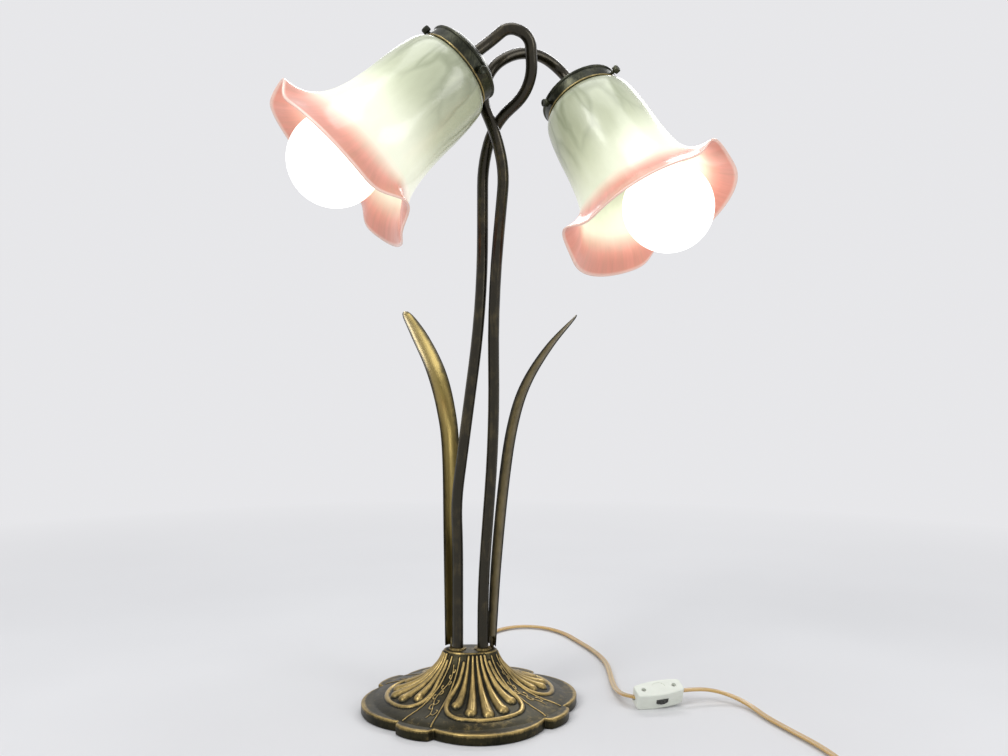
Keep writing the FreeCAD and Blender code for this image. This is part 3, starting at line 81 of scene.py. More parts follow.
# ---- Heads: the places and angles that the solids have ------------------------------------
HEADS = {
    "left": {"top": (3.0, -66.4, 582.4), "holder": (193.6, 43.1), "stem": (197.6, 39.9),
             "point": 64.9, "screw": 84.0},
    "right": {"top": (97.2, -5.0, 573.0), "holder": (-41.1, 56.5), "stem": (-34.3, 51.9),
              "point": -50.0, "screw": -62.0},
}
HOLDER_HEIGHT = 20.0
BULB_CENTRE = 151.5
GLASS_THICKNESS = 2.6
SHADE_BODY = ((30.5, -4.0), (31.2, -1.6), (37.5, 2.6), (42.0, 9.5), (44.5, 22.0),
              (46.2, 40.0), (47.2, 60.0), (49.3, 80.0))
LOBE_FLARE = ((53.0, 97.0), (58.8, 111.0), (67.5, 125.0))
POINT_FLARE = ((54.0, 97.0), (61.5, 109.5), (71.5, 117.0))
LIP = (80.0, 137.0)
LIP_POINT = (84.0, 121.0)
POINT_COUNT = 3
POINT_SHARPNESS = 8.0
SHADE_NECK_END = (30.5, -9.4)  # radius and level inside the holder
THIN_START = 0.8               # share of the section where the glass starts to thin
THINNING = 0.42
GLOW_REACH = 60.0              # from the bulb's middle to where its glow starts to fade
GLOW_FADE = 29.0
LIP_START = 0.82               # share of the section where the lip's colour takes over
LIP_BLEND = 0.12
LIP_GLOW_LOSS = 0.9


# ---- Small helpers ------------------------------------------------------------------------
def direction(bearing, droop=0.0):
    flat = math.cos(math.radians(droop))
    return Vector((flat * math.cos(math.radians(bearing)),
                   flat * math.sin(math.radians(bearing)), -math.sin(math.radians(droop))))


def frame_along(origin, axis, towards):
    """Matrix in metres whose Z runs along axis and whose X leans towards a direction."""
    z = Vector(axis).normalized()
    x = (Vector(towards) - z * Vector(towards).dot(z)).normalized()
    y = z.cross(x)
    matrix = Matrix((x, y, z)).transposed().to_4x4()
    matrix.translation = Vector(origin) * MM
    return matrix


def mesh_piece(name, points, faces, body="lamp", smooth=True):
    """A mesh object of points in metres that rides on a body."""
    mesh = bpy.data.meshes.new(name)
    mesh.from_pydata([tuple(p) for p in points], [], faces)
    mesh.validate()
    mesh.polygons.foreach_set("use_smooth", [smooth] * len(mesh.polygons))
    piece = bpy.data.objects.new(name, mesh)
    bpy.context.scene.collection.objects.link(piece)
    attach(piece, body)
    return piece


def attribute(piece, name, values):
    """One number, or one vector, for each vertex of a piece."""
    values = np.asarray(values, float)
    kind = "FLOAT" if values.ndim == 1 else "FLOAT_VECTOR"
    layer = piece.data.attributes.new(name, kind, "POINT")
    layer.data.foreach_set("value" if values.ndim == 1 else "vector", values.ravel())


def grid_faces(rows, columns, closed=True):
    """Quads between rows of points; closed joins the last column to the first."""
    last = columns if closed else columns - 1
    faces = []
    for i in range(rows - 1):
        for j in range(last):
            k = (j + 1) % columns
            faces.append((i * columns + j, i * columns + k, (i + 1) * columns + k,
                          (i + 1) * columns + j))
    return faces


def nurbs_line(name, points, resolution=12):
    """Points of a smooth NURBS line through a route, in metres."""
    curve = bpy.data.curves.new(name + "_line", "CURVE")
    curve.dimensions = "3D"
    curve.resolution_u = resolution
    spline = curve.splines.new("NURBS")
    spline.points.add(len(points) - 1)
    for point, place in zip(spline.points, points):
        point.co = (place[0] * MM, place[1] * MM, place[2] * MM, 1.0)
    spline.order_u = 3
    spline.use_endpoint_u = True
    holder = bpy.data.objects.new(name + "_line", curve)
    mesh = bpy.data.meshes.new_from_object(holder)
    line = [vertex.co.copy() for vertex in mesh.vertices]
    bpy.data.objects.remove(holder)
    bpy.data.meshes.remove(mesh)
    bpy.data.curves.remove(curve)
    return line


def sweep(name, line, profile, body="lamp", up=Vector((0, 0, 1)), caps=True):
    """A mesh tube along a line; the profile is (across, up) pairs in metres."""
    rows = []
    for k, place in enumerate(line):
        ahead = (line[min(k + 1, len(line) - 1)] - line[max(k - 1, 0)]).normalized()
        across = ahead.cross(up)
        if across.length < 1e-4:
            across = Vector((1, 0, 0))
        across.normalize()
        rise = across.cross(ahead)
        rows += [place + across * a + rise * b for a, b in profile]
    count = len(profile)
    faces = grid_faces(len(line), count)
    if caps:
        faces.append(tuple(reversed(range(count))))
        faces.append(tuple(range(len(rows) - count, len(rows))))
    return mesh_piece(name, rows, faces, body)


# ---- Material nodes -----------------------------------------------------------------------
class Shader:
    """A material whose nodes are added and linked by short calls."""

    def __init__(self, name):
        self.material = bpy.data.materials.new(name)
        self.material.use_nodes = True
        self.tree = self.material.node_tree
        self.tree.nodes.clear()
        self.output = self.tree.nodes.new("ShaderNodeOutputMaterial")

    def add(self, kind, inputs=(), **settings):
        node = self.tree.nodes.new("ShaderNode" + kind)
        for key, value in settings.items():
            setattr(node, key, value)
        for key, value in dict(inputs).items():
            self.put(node.inputs[key], value)
        return node

    def put(self, socket, value):
        if isinstance(value, bpy.types.NodeSocket):
            self.tree.links.new(value, socket)
        elif isinstance(value, bpy.types.Node):
            self.tree.links.new(value.outputs[0], socket)
        elif isinstance(value, tuple) and len(value) == 3 and len(socket.default_value) == 4:
            socket.default_value = (*value, 1.0)
        else:
            socket.default_value = value

    def noise(self, vector, scale, detail=4.0, roughness=0.55, distortion=0.0):
        return self.add("TexNoise", {"Vector": vector, "Scale": scale, "Detail": detail,
                                     "Roughness": roughness, "Distortion": distortion})

    def stretched(self, vector, scale):
        return self.add("Mapping", {"Vector": vector, "Scale": scale})

    def ramp(self, value, *stops):
        """Colour ramp from (place, colour) stops; a number stands for a grey."""
        node = self.add("ValToRGB", {"Fac": value})
        elements = node.color_ramp.elements
        while len(elements) < len(stops):
            elements.new(0.5)
        for element, (place, colour) in zip(elements, stops):
            if not isinstance(colour, tuple):
                colour = (colour, colour, colour)
            element.position = place
            element.color = (*colour, 1.0)
        return node

    def mix(self, factor, first, second, blend="MIX"):
        node = self.tree.nodes.new("ShaderNodeMix")
        node.data_type = "RGBA"
        node.blend_type = blend
        self.put(node.inputs[0], factor)
        self.put(node.inputs[6], first)
        self.put(node.inputs[7], second)
        return node.outputs[2]

    def math(self, operation, first, second=0.5, clamp=False):
        node = self.tree.nodes.new("ShaderNodeMath")
        node.operation = operation
        node.use_clamp = clamp
        self.put(node.inputs[0], first)
        self.put(node.inputs[1], second)
        return node.outputs[0]

    def bump(self, height, distance, strength=1.0):
        return self.add("Bump", {"Height": height, "Distance": distance,
                                 "Strength": strength})

    def place(self):
        return self.add("TexCoord").outputs["Object"]

    def value_of(self, name, output="Fac"):
        node = self.add("Attribute", attribute_name=name)
        return node.outputs[output]

    def finish(self, **inputs):
        surface = self.add("BsdfPrincipled", inputs)
        self.put(self.output.inputs["Surface"], surface)
        return self.material


def dress(piece, material):
    piece.data.materials.clear()
    piece.data.materials.append(material)
    return piece


def bronze(name, dark, gold, rub, scale=140.0, wear=None, groove=None, metallic=0.85,
           coat=0.0, shine=(0.42, 0.3)):
    """Antique bronze: dark in the recesses, rubbed to gold on what stands out, with painted
    highlight and painted shade from an attribute.
    """
    shader = Shader(name)
    place = shader.place()
    mottle = shader.noise(place, scale, 6.0, 0.65)
    brushed = shader.noise(shader.stretched(place, (3.0, 3.0, 0.35)), scale * 3.2, 3.0)
    cloud = shader.noise(place, scale * 0.22, 3.0)
    amount = shader.math("ADD", shader.math("MULTIPLY", mottle.outputs["Fac"], 0.5),
                         shader.math("MULTIPLY", brushed.outputs["Fac"], 0.25))
    amount = shader.math("ADD", amount, shader.math("MULTIPLY", cloud.outputs["Fac"], 0.3))
    # the attribute carries rubbed gold together with painted highlight and painted shade
    if wear:
        amount = shader.math("ADD", amount, shader.math(
            "MULTIPLY", shader.value_of(wear), 0.38))
    low, high = rub
    face = shader.ramp(amount, (low - 0.18, groove or dark), (low - 0.06, dark), (low, dark),
                       (high, gold))
    rough = shader.ramp(amount, (low, shine[0]), (high, shine[1]))
    grain = shader.bump(mottle.outputs["Fac"], 0.00025, 0.5)
    return shader.finish(**{"Base Color": face.outputs["Color"], "Metallic": metallic,
                            "Roughness": rough.outputs["Color"], "Normal": grain,
                            "Coat Weight": coat, "Coat Roughness": 0.25})


def plain(name, colour, roughness, metallic=0.0, grain=900.0, depth=0.00005, coat=0.0):
    """A moulded or turned surface with a faint grain and a little uneven colour."""
    shader = Shader(name)
    place = shader.place()
    fine = shader.noise(place, grain, 3.0)
    broad = shader.noise(place, grain * 0.08, 2.0)
    darker = tuple(channel * 0.86 for channel in colour)
    face = shader.mix(broad.outputs["Fac"], darker, colour)
    rough = shader.ramp(fine.outputs["Fac"], (0.3, roughness * 0.85), (0.7, roughness * 1.15))
    return shader.finish(**{"Base Color": face, "Metallic": metallic, "Coat Weight": coat,
                            "Roughness": rough.outputs["Color"],
                            "Normal": shader.bump(fine.outputs["Fac"], depth, 0.6)})


BRONZE_DARK = (0.030, 0.026, 0.012)
BRONZE_BLACK = (0.008, 0.008, 0.004)
stem_bronze = bronze("stem_bronze", (0.022, 0.018, 0.009), (0.11, 0.085, 0.036), (0.52, 0.80),
                     60.0, metallic=0.8, coat=0.35, shine=(0.27, 0.22))
# The leaves share one bronze; the left copy is painted lighter as painted light, the right copy
# darker as painted shade
left_leaf_lit_bronze = bronze("left_leaf_lit_bronze", (0.055, 0.044, 0.016), (0.32, 0.24, 0.075),
                          (0.42, 0.78), 90.0, "wear", (0.02, 0.016, 0.006), coat=0.2)
right_leaf_shaded_bronze = bronze("right_leaf_shaded_bronze", (0.030, 0.025, 0.011), (0.20, 0.155, 0.065),
                           (0.50, 0.90), 90.0, "wear", BRONZE_BLACK, coat=0.2)
base_bronze = bronze("base_bronze", BRONZE_DARK, (0.42, 0.30, 0.11), (0.56, 0.92), 160.0,
                     "wear", BRONZE_BLACK)
holder_bronze = bronze("holder_bronze", (0.016, 0.018, 0.010), (0.13, 0.13, 0.075),
                       (0.48, 0.85), 110.0, coat=0.2)
bead_gold = bronze("bead_gold", (0.16, 0.13, 0.06), (0.52, 0.40, 0.17), (0.4, 0.7), 110.0)
steel = plain("plated_steel", (0.55, 0.55, 0.53), 0.32, 1.0)
bright_brass = plain("bright_brass", (0.70, 0.52, 0.22), 0.3, 1.0)
black_plastic = plain("black_plastic", (0.03, 0.03, 0.03), 0.5)
brown_plastic = plain("brown_plastic", (0.07, 0.05, 0.03), 0.45)
white_plastic = plain("white_plastic", (0.80, 0.83, 0.74), 0.34, coat=0.3)
# the switch wheel is painted near-black as painted shade inside the switch's slot
slot_shade_black = plain("slot_shade_black", (0.05, 0.05, 0.045), 0.6)
iron = plain("cast_iron", (0.06, 0.06, 0.06), 0.75, 0.6, 500.0, 0.0003)
amber_plastic = plain("amber_plastic", (0.45, 0.27, 0.07), 0.35, coat=0.2)
felt_cloth = plain("felt_cloth", (0.035, 0.055, 0.035), 0.95, 0.0, 2500.0, 0.0004)


def amber_cord():
    """Clear golden jacket over two bright copper strands."""
    shader = Shader("amber_cord")
    across = shader.value_of("across")
    along = shader.value_of("along")
    strand = shader.add("TexWave", {"Vector": shader.add("CombineXYZ", {
        "X": shader.math("MULTIPLY", along, 260.0), "Y": shader.math("MULTIPLY", across, 5.0)}),
        "Scale": 1.0, "Distortion": 0.6}, bands_direction="DIAGONAL")
    web = shader.ramp(shader.math("ABSOLUTE", across), (0.0, 0.0), (0.34, 1.0))
    gold = shader.mix(strand.outputs["Fac"], (0.38, 0.22, 0.05), (0.60, 0.38, 0.11))
    colour = shader.mix(web.outputs["Color"], (0.26, 0.15, 0.035), gold)
    patches = shader.noise(shader.place(), 45.0, 2.0)
    colour = shader.mix(shader.math("MULTIPLY", patches.outputs["Fac"], 0.2), colour,
                        (0.85, 0.64, 0.30))
    return shader.finish(**{"Base Color": colour, "Roughness": 0.28, "Coat Weight": 0.6,
                            "Coat Roughness": 0.12, "Subsurface Weight": 0.15,
                            "Subsurface Scale": 0.002,
                            "Normal": shader.bump(strand.outputs["Fac"], 0.0001, 0.3)})


cord_gold = amber_cord()


# ---- Camera, floor and light --------------------------------------------------------------
def camera_floor_and_light():
    camera = bpy.data.cameras.new("camera")
    camera.lens = CAMERA_LENS
    camera.sensor_width = CAMERA_SENSOR
    camera.clip_start = 0.01
    eye = bpy.data.objects.new("camera", camera)
    eye.location = CAMERA_PLACE
    eye.rotation_euler = (math.radians(90), 0, 0)
    bpy.context.scene.collection.objects.link(eye)
    bpy.context.scene.camera = eye

    half = FLOOR_HALF
    mesh = bpy.data.meshes.new("floor")
    mesh.from_pydata([(-half, -half, 0), (half, -half, 0), (half, half, 0), (-half, half, 0)],
                     [], [(0, 1, 2, 3)])
    floor = bpy.data.objects.new("floor", mesh)
    bpy.context.scene.collection.objects.link(floor)
    shader = Shader("pale_floor")
    tone = shader.noise(shader.place(), 3.0, 2.0)
    pale = shader.ramp(tone.outputs["Fac"], (0.3, (0.71, 0.71, 0.72)), (0.7, (0.74, 0.74, 0.75)))
    surface = shader.add("BsdfPrincipled", {"Base Color": pale.outputs["Color"],
                                            "Roughness": 0.8, "Specular IOR Level": 0.2})
    far = shader.add("VectorMath", {0: shader.place()}, operation="LENGTH")
    fade = shader.ramp(shader.math("MULTIPLY", far.outputs["Value"], 0.5), (0.22, 0.0),
                       (0.75, 1.0))
    paths = shader.add("LightPath")
    seen = shader.math("MAXIMUM", paths.outputs["Is Camera Ray"], shader.math(
        "MAXIMUM", paths.outputs["Is Glossy Ray"], paths.outputs["Is Transmission Ray"]))
    seen = shader.math("MULTIPLY", fade.outputs["Color"], seen)
    haze = shader.add("Emission", {"Color": PALE, "Strength": 1.0})
    shader.put(shader.output.inputs["Surface"], shader.add(
        "MixShader", {0: seen, 1: surface, 2: haze}))
    floor.data.materials.append(shader.material)

    world = bpy.data.worlds.new("soft_world")
    bpy.context.scene.world = world
    world.use_nodes = True
    tree = world.node_tree
    background = tree.nodes["Background"]
    paths = tree.nodes.new("ShaderNodeLightPath")
    most = tree.nodes.new("ShaderNodeMath")
    most.operation = "MAXIMUM"
    tree.links.new(paths.outputs["Is Camera Ray"], most.inputs[0])
    tree.links.new(paths.outputs["Is Transmission Ray"], most.inputs[1])
    glossy = tree.nodes.new("ShaderNodeMath")
    glossy.operation = "MAXIMUM"
    tree.links.new(most.outputs[0], glossy.inputs[0])
    tree.links.new(paths.outputs["Is Glossy Ray"], glossy.inputs[1])
    mix = tree.nodes.new("ShaderNodeMix")
    mix.data_type = "RGBA"
    tree.links.new(glossy.outputs[0], mix.inputs[0])
    mix.inputs[6].default_value = (*SKY, 1)
    mix.inputs[7].default_value = (*PALE, 1)
    tree.links.new(mix.outputs[2], background.inputs["Color"])

    for name, place, target, width, height, power in LIGHTS:
        light = bpy.data.lights.new(name, "AREA")
        light.shape = "RECTANGLE"
        light.size = width
        light.size_y = height
        light.energy = power
        lamp = bpy.data.objects.new(name, light)
        lamp.location = place
        away = Vector(target) - Vector(place)
        lamp.rotation_euler = away.to_track_quat("-Z", "Y").to_euler()
        bpy.context.scene.collection.objects.link(lamp)
    bpy.context.scene.view_settings.view_transform = "Standard"


camera_floor_and_light()


# ---- Cords --------------------------------------------------------------------------------
def twin_profile():
    """Outline of a flat twin cord: two round conductors joined by a web."""
    radius = CORD_THICKNESS / 2
    offset = (CORD_DIAMETER - CORD_THICKNESS) / 2
    outline = []
    for side, first in ((1, -140), (-1, 40)):
        for step in range(8):
            angle = math.radians(first + step * 280 / 7)
            outline.append((side * offset + radius * math.cos(angle), radius * math.sin(angle)))
    return outline


def twin_cord(name, points):
    line = nurbs_line(name, points)
    profile = twin_profile()
    piece = sweep(name, line, profile)
    length = np.cumsum([0.0] + [(b - a).length for a, b in zip(line, line[1:])])
    attribute(piece, "across", [a / (CORD_DIAMETER / 2) for _ in line for a, _ in profile])
    attribute(piece, "along", np.repeat(length, len(profile)))
    dress(piece, cord_gold)
    return piece, line


def coil_points():
    """Control points of the coil: half turns in two layers, one of which climbs."""
    centre = Vector((*COIL_CENTRE, COIL_FLOOR_LINE))
    marks = [centre + Vector((x, 0, layer * COIL_LAYER_RISE)) for x, layer in COIL_MARKS]
    points = [marks[0] + Vector((0, COIL_END, 0)), marks[0]]
    for k, (here, there) in enumerate(zip(marks, marks[1:])):
        side = -1 if k % 2 == 0 else 1
        middle = (here + there) / 2
        radius = (there - here).length / 2
        grown = radius / math.cos(math.pi / COIL_POINTS / 2)
        outward = (here - middle).normalized()
        for step in range(COIL_POINTS):
            angle = (step + 0.5) * math.pi / COIL_POINTS
            points.append(middle + outward * grown * math.cos(angle)
                          + Vector((0, side, 0)) * grown * math.sin(angle))
    points += [marks[-1], marks[-1] - Vector((0, COIL_END, 0))]
    return points


def cords():
    along = direction(SWITCH_BEARING, -SWITCH_PITCH)
    first_points = [CORD_EXIT, *FIRST_ROUTE, SWITCH_CENTRE - along * SWITCH_HELD]
    second_points = [SWITCH_CENTRE + along * SWITCH_HELD, *SECOND_ROUTE, *coil_points(),
                     *END_ROUTE]
    first, first_line = twin_cord("cord_first", first_points)
    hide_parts("cord_to_switch")
    second, second_line = twin_cord("cord_second", second_points)
    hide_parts("cord_from_switch", "cord_coil", "cord_to_plug")


cords()


# ---- Shades -------------------------------------------------------------------------------
def lip_weight(angle):
    return ((1 + math.cos(math.radians(POINT_COUNT * angle))) / 2) ** POINT_SHARPNESS


def smooth_line(points, steps):
    """Catmull-Rom line through (radius, level) points."""
    points = [np.array(p, float) for p in points]
    ends = [2 * points[0] - points[1], *points, 2 * points[-1] - points[-2]]
    line = []
    for a, b, c, d in zip(ends, ends[1:], ends[2:], ends[3:]):
        for k in range(steps):
            t = k / steps
            line.append(0.5 * ((2 * b) + (c - a) * t + (2 * a - 5 * b + 4 * c - d) * t ** 2
                               + (3 * b - a - 3 * c + d) * t ** 3))
    line.append(points[-1])
    return np.array(line)


def shade_section(angle):
    """Points of the glass at one angle: outside from neck to lip, then back inside."""
    weight = lip_weight(angle)
    flare = [(a[0] + weight * (b[0] - a[0]), a[1] + weight * (b[1] - a[1]))
             for a, b in zip(LOBE_FLARE, POINT_FLARE)]
    lip = (LIP[0] + weight * (LIP_POINT[0] - LIP[0]), LIP[1] + weight * (LIP_POINT[1] - LIP[1]))
    outer = smooth_line([SHADE_NECK_END, *SHADE_BODY, *flare, lip], 6)
    ahead = np.gradient(outer, axis=0)
    ahead /= np.linalg.norm(ahead, axis=1)[:, None]
    inward = np.column_stack([-ahead[:, 1], ahead[:, 0]])
    share = np.linspace(0, 1, len(outer))
    thick = GLASS_THICKNESS * (1 - THINNING * np.clip((share - THIN_START) / 0.2, 0, 1))
    inner = outer + inward * thick[:, None]
    middle = (outer[-1] + inner[-1]) / 2 - ahead[-1] * thick[-1] * 0.02
    outer[-1] -= ahead[-1] * thick[-1] * 0.25
    inner[-1] -= ahead[-1] * thick[-1] * 0.25
    section = np.vstack([outer, middle[None], inner[::-1]])
    return section, np.concatenate([share, [1.0], share[::-1]])


def shade_glass():
    """Opal glass with lengthwise marbling, a coral lip and the glow of the bulb."""
    shader = Shader("marbled_glass")
    place = shader.value_of("place", "Vector")
    level = shader.value_of("level")
    glow = shader.value_of("glow")
    warp = shader.noise(shader.stretched(place, (1, 1, 0.5)), 26.0, 3.0)
    moved = shader.add("VectorMath", {0: shader.stretched(place, (1, 1, 0.3)),
                                      1: shader.add("VectorMath", {
                                          0: warp.outputs["Color"], "Scale": 0.022},
                                          operation="SCALE")}, operation="ADD")
    cells = shader.add("TexVoronoi", {"Vector": moved, "Scale": 48.0},
                       feature="DISTANCE_TO_EDGE")
    veins = shader.ramp(cells.outputs["Distance"], (0.0, 1.0), (0.13, 0.0))
    cloud = shader.noise(shader.stretched(place, (1, 1, 0.35)), 55.0, 4.0)
    milk = shader.mix(cloud.outputs["Fac"], (0.38, 0.41, 0.27), (0.56, 0.60, 0.43))
    vein_amount = shader.math("MULTIPLY", veins.outputs["Color"],
                              shader.math("SUBTRACT", 0.62, glow, clamp=True))
    body = shader.mix(vein_amount, milk, (0.27, 0.30, 0.19))
    # painted shade: the glass is made darker towards the neck, where less light comes through
    neck_shade = shader.ramp(level, (0.05, 0.62), (0.42, 1.0))
    body = shader.mix(1.0, body, neck_shade.outputs["Color"], "MULTIPLY")
    streaks = shader.noise(shader.stretched(place, (1, 1, 0.10)), 210.0, 4.0, 0.6)
    flare = shader.ramp(level, (0.79, 0.0), (0.90, 1.0))
    streaked = shader.mix(streaks.outputs["Fac"], (0.66, 0.17, 0.12), (0.82, 0.40, 0.30))
    pink_amount = shader.math("MULTIPLY", flare.outputs["Color"], shader.math(
        "ADD", 0.55, shader.math("MULTIPLY", streaks.outputs["Fac"], 0.8), clamp=True))
    coloured = shader.mix(pink_amount, body, streaked)
    edge = shader.ramp(level, (0.982, 0.0), (0.994, 1.0))
    coloured = shader.mix(edge.outputs["Color"], coloured, (0.90, 0.60, 0.50))
    warm = shader.mix(glow, (0.74, 0.77, 0.59), (1.0, 0.99, 0.90))
    light = shader.mix(shader.math("MULTIPLY", glow, 0.8), coloured, warm)
    strength = shader.math("ADD", 0.03, shader.math("MULTIPLY", glow, 0.60))
    return shader.finish(**{"Base Color": coloured, "Roughness": 0.26, "Coat Weight": 0.35,
                            "Coat Roughness": 0.1, "Emission Color": light,
                            "Emission Strength": strength,
                            "Normal": shader.bump(streaks.outputs["Fac"], 0.0002, 0.35)})


glass = shade_glass()
SHADE_COLUMNS = 216


def head_rim(side):
    """Frame of a holder's rim, with Z along the shade."""
    axis = direction(*HEADS[side]["holder"])
    return frame_along(Vector(HEADS[side]["top"]) + axis * HOLDER_HEIGHT, axis, (0, -1, 0))


def shade(side):
    head = HEADS[side]
    rim = head_rim(side)
    bulb = (Vector(head["top"]) + direction(*head["stem"]) * BULB_CENTRE) * MM
    columns = []
    for j in range(SHADE_COLUMNS):
        angle = 360.0 * j / SHADE_COLUMNS
        section, share = shade_section(angle)
        columns.append((math.radians(angle + head["point"]), section))
    rows = len(share)
    points, places, levels, glows = [], [], [], []
    for i in range(rows):
        for turn, section in columns:
            radius, level = section[i]
            local = Vector((radius * math.cos(turn), radius * math.sin(turn), level)) * MM
            world = rim @ local
            points.append(world)
            places.append((0.05 * math.cos(turn), 0.05 * math.sin(turn), level * MM))
            levels.append(share[i])
            distance = (world - bulb).length / MM
            near = math.exp(-((max(distance - GLOW_REACH, 0.0)) / GLOW_FADE) ** 2)
            lip_share = max(0.0, min(1.0, (share[i] - LIP_START) / LIP_BLEND))
            glows.append(near * (1.0 - LIP_GLOW_LOSS * lip_share))
    faces = grid_faces(rows, SHADE_COLUMNS)
    faces = [tuple(reversed(face)) for face in faces]
    piece = mesh_piece(side + "_shade_glass", points, faces)
    attribute(piece, "place", places)
    attribute(piece, "level", levels)
    attribute(piece, "glow", glows)
    dress(piece, glass)
    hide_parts(side + "_shade")


for side in HEADS:
    shade(side)


# ---- Base casting -------------------------------------------------------------------------
BASE_RADIUS = 101.0
LOBE_RADIUS = 60.0
LOBE_TURN = 15.0
LOBE_HALF_ANGLE = 33.0
TAB_RADIUS = 98.0
TAB_SHOULDER_RADIUS = 96.0
TAB_HALF_ANGLE = 9.5
RIM_HEIGHT = 9.5
RIM_ROUND = 1.6
CASTING_LIFT = 0.4
NECK = (24.5, 14.5)
NECK_HEIGHT = 53.0
FLARE = ((53.0, 0.0, 0.0), (47.0, 2.0, 3.0), (40.0, 6.0, 8.5), (32.0, 13.0, 17.0),
         (25.0, 21.5, 27.5), (19.0, 33.5, 41.5), (15.0, 45.5, 55.5), (12.0, 57.5, 67.5),
         (9.5, 64.3, 74.0))
SHELL_COUNT = 4
RIB_OFFSETS = (-2, -1, 0, 1, 2)
RIB_PITCH = (8.5, 12.5)        # degrees at the neck and at the ends
RIB_FILL = 0.42
RIB_END_RADIUS = 6.0
RIB_SINK = 0.35                # of its radius, how far a flute's centre lies below the surface
RIB_TOP_HEIGHT = 50.0
RIB_END_HEIGHT = 15.2
RIB_END_STEP = 0.9
BEAD_RADIUS = 2.6
BEAD_SINK = 0.3
BEAD_MARGIN = 9.0
BEAD_LOWER_MARKS = ((0.0, 13.2, 1.0), (0.36, 13.4, 1.0), (0.72, 14.3, 1.0), (0.94, 17.0, 1.0),
                    (1.0, 22.0, 1.0))
BEAD_UPPER_MARKS = ((1.12, 31.0, 0.8), (1.0, 45.0, 0.55))
RECESS_RADIUS = 84.0
STEM_SPACING = 23.3
STEM_RADIUS = 5.15
GROOVE_WIDTH = 1.2             # dark line beside each ridge
GROOVE_WEAR = -0.45
BASE_COLUMNS = 1080
FLARE_ROWS = 120


def rim_radius(bearing):
    """Distance from the centre to the rim's outline at a bearing."""
    sector = 360.0 / SHELL_COUNT
    off = abs((bearing - LOBE_TURN + sector / 2) % sector - sector / 2)
    centre = BASE_RADIUS - LOBE_RADIUS

    def lobe(angle):
        across = centre * math.sin(math.radians(angle))
        return centre * math.cos(math.radians(angle)) + math.sqrt(LOBE_RADIUS ** 2
                                                                 - across ** 2)
    shoulder = sector / 2 - TAB_HALF_ANGLE
    if off <= LOBE_HALF_ANGLE:
        return lobe(off)
    if off < shoulder:
        share = (off - LOBE_HALF_ANGLE) / (shoulder - LOBE_HALF_ANGLE)
        share = share * share * (3 - 2 * share)
        return lobe(LOBE_HALF_ANGLE) + share * (TAB_SHOULDER_RADIUS - lobe(LOBE_HALF_ANGLE))
    share = (sector / 2 - off) / TAB_HALF_ANGLE
    return TAB_RADIUS - (TAB_RADIUS - TAB_SHOULDER_RADIUS) * share ** 2


FLARE_LINE = smooth_line([(z, x) for z, x, _ in FLARE], 8), smooth_line(
    [(z, y) for z, _, y in FLARE], 8)


def on_flare(bearing, height):
    """Point of the flare's surface, in millimetres."""
    out_x, out_y = (np.interp(-height, -line[:, 0], line[:, 1]) for line in FLARE_LINE)
    return np.array([(NECK[0] + out_x) * math.cos(math.radians(bearing)),
                     (NECK[1] + out_y) * math.sin(math.radians(bearing)), height])


def rib_line(crown, offset):
    """Centre line and radii of one flute, which sinks into the flare at its end."""
    end = RIB_END_HEIGHT + RIB_END_STEP * offset ** 2
    centres, radii = [], []
    for t in np.linspace(0, 1, 15):
        height = RIB_TOP_HEIGHT + (end - RIB_TOP_HEIGHT) * math.sin(t * math.pi / 2)
        pitch = RIB_PITCH[0] + (RIB_PITCH[1] - RIB_PITCH[0]) * t
        centre = on_flare(crown + offset * pitch, height)
        spacing = math.hypot(centre[0], centre[1]) * math.radians(pitch)
        centres.append(centre)
        radii.append(min(RIB_FILL * spacing, RIB_END_RADIUS))
    return centres, radii


def bead_line(crown):
    outer = RIB_OFFSETS[-1]
    side = outer * RIB_PITCH[1] + BEAD_MARGIN
    top = outer * RIB_PITCH[0] + BEAD_MARGIN
    half = [(side * share, height, BEAD_RADIUS * size) for share, height, size
            in BEAD_LOWER_MARKS]
    half += [(top * share, height, BEAD_RADIUS * size) for share, height, size
             in BEAD_UPPER_MARKS]
    marks = smooth_line([(-a, h, r) for a, h, r in half[:0:-1]] + half, 6)
    return [on_flare(crown + a, h) for a, h, _ in marks], [r for _, _, r in marks]


def panel_lines(middle):
    """Border lines and a scroll of leaves on the panel between two shells."""
    lines = []
    for side in (-1, 1):
        border = [(side * 9.6, 49.0), (side * 9.4, 36.0), (side * 8.8, 26.0), (side * 8.4, 18.0),
                  (side * 9.2, 12.5), (side * 9.6, 10.0)]
        lines.append(([on_flare(middle + a, h) for a, h in smooth_line(border, 6)], 0.75))
    wave = [(3.2 * math.sin(k * 0.85), 42.0 * math.exp(-k * 0.125) + 1.0)
            for k in range(11)]
    lines.append(([on_flare(middle + a, h) for a, h in smooth_line(wave, 4)], 0.5))
    for k in range(1, 10):
        angle, height = wave[k]
        side = 1 if k % 2 else -1
        curl = [(angle, height), (angle + side * 2.0, height - 0.4),
                (angle + side * 3.6, height + 0.5), (angle + side * 3.4, height + 1.6),
                (angle + side * 2.2, height + 1.5)]
        lines.append(([on_flare(middle + a, min(h, 50.0)) for a, h in smooth_line(curl, 4)],
                      0.62))
    return [(line, [radius] * len(line)) for line, radius in lines]


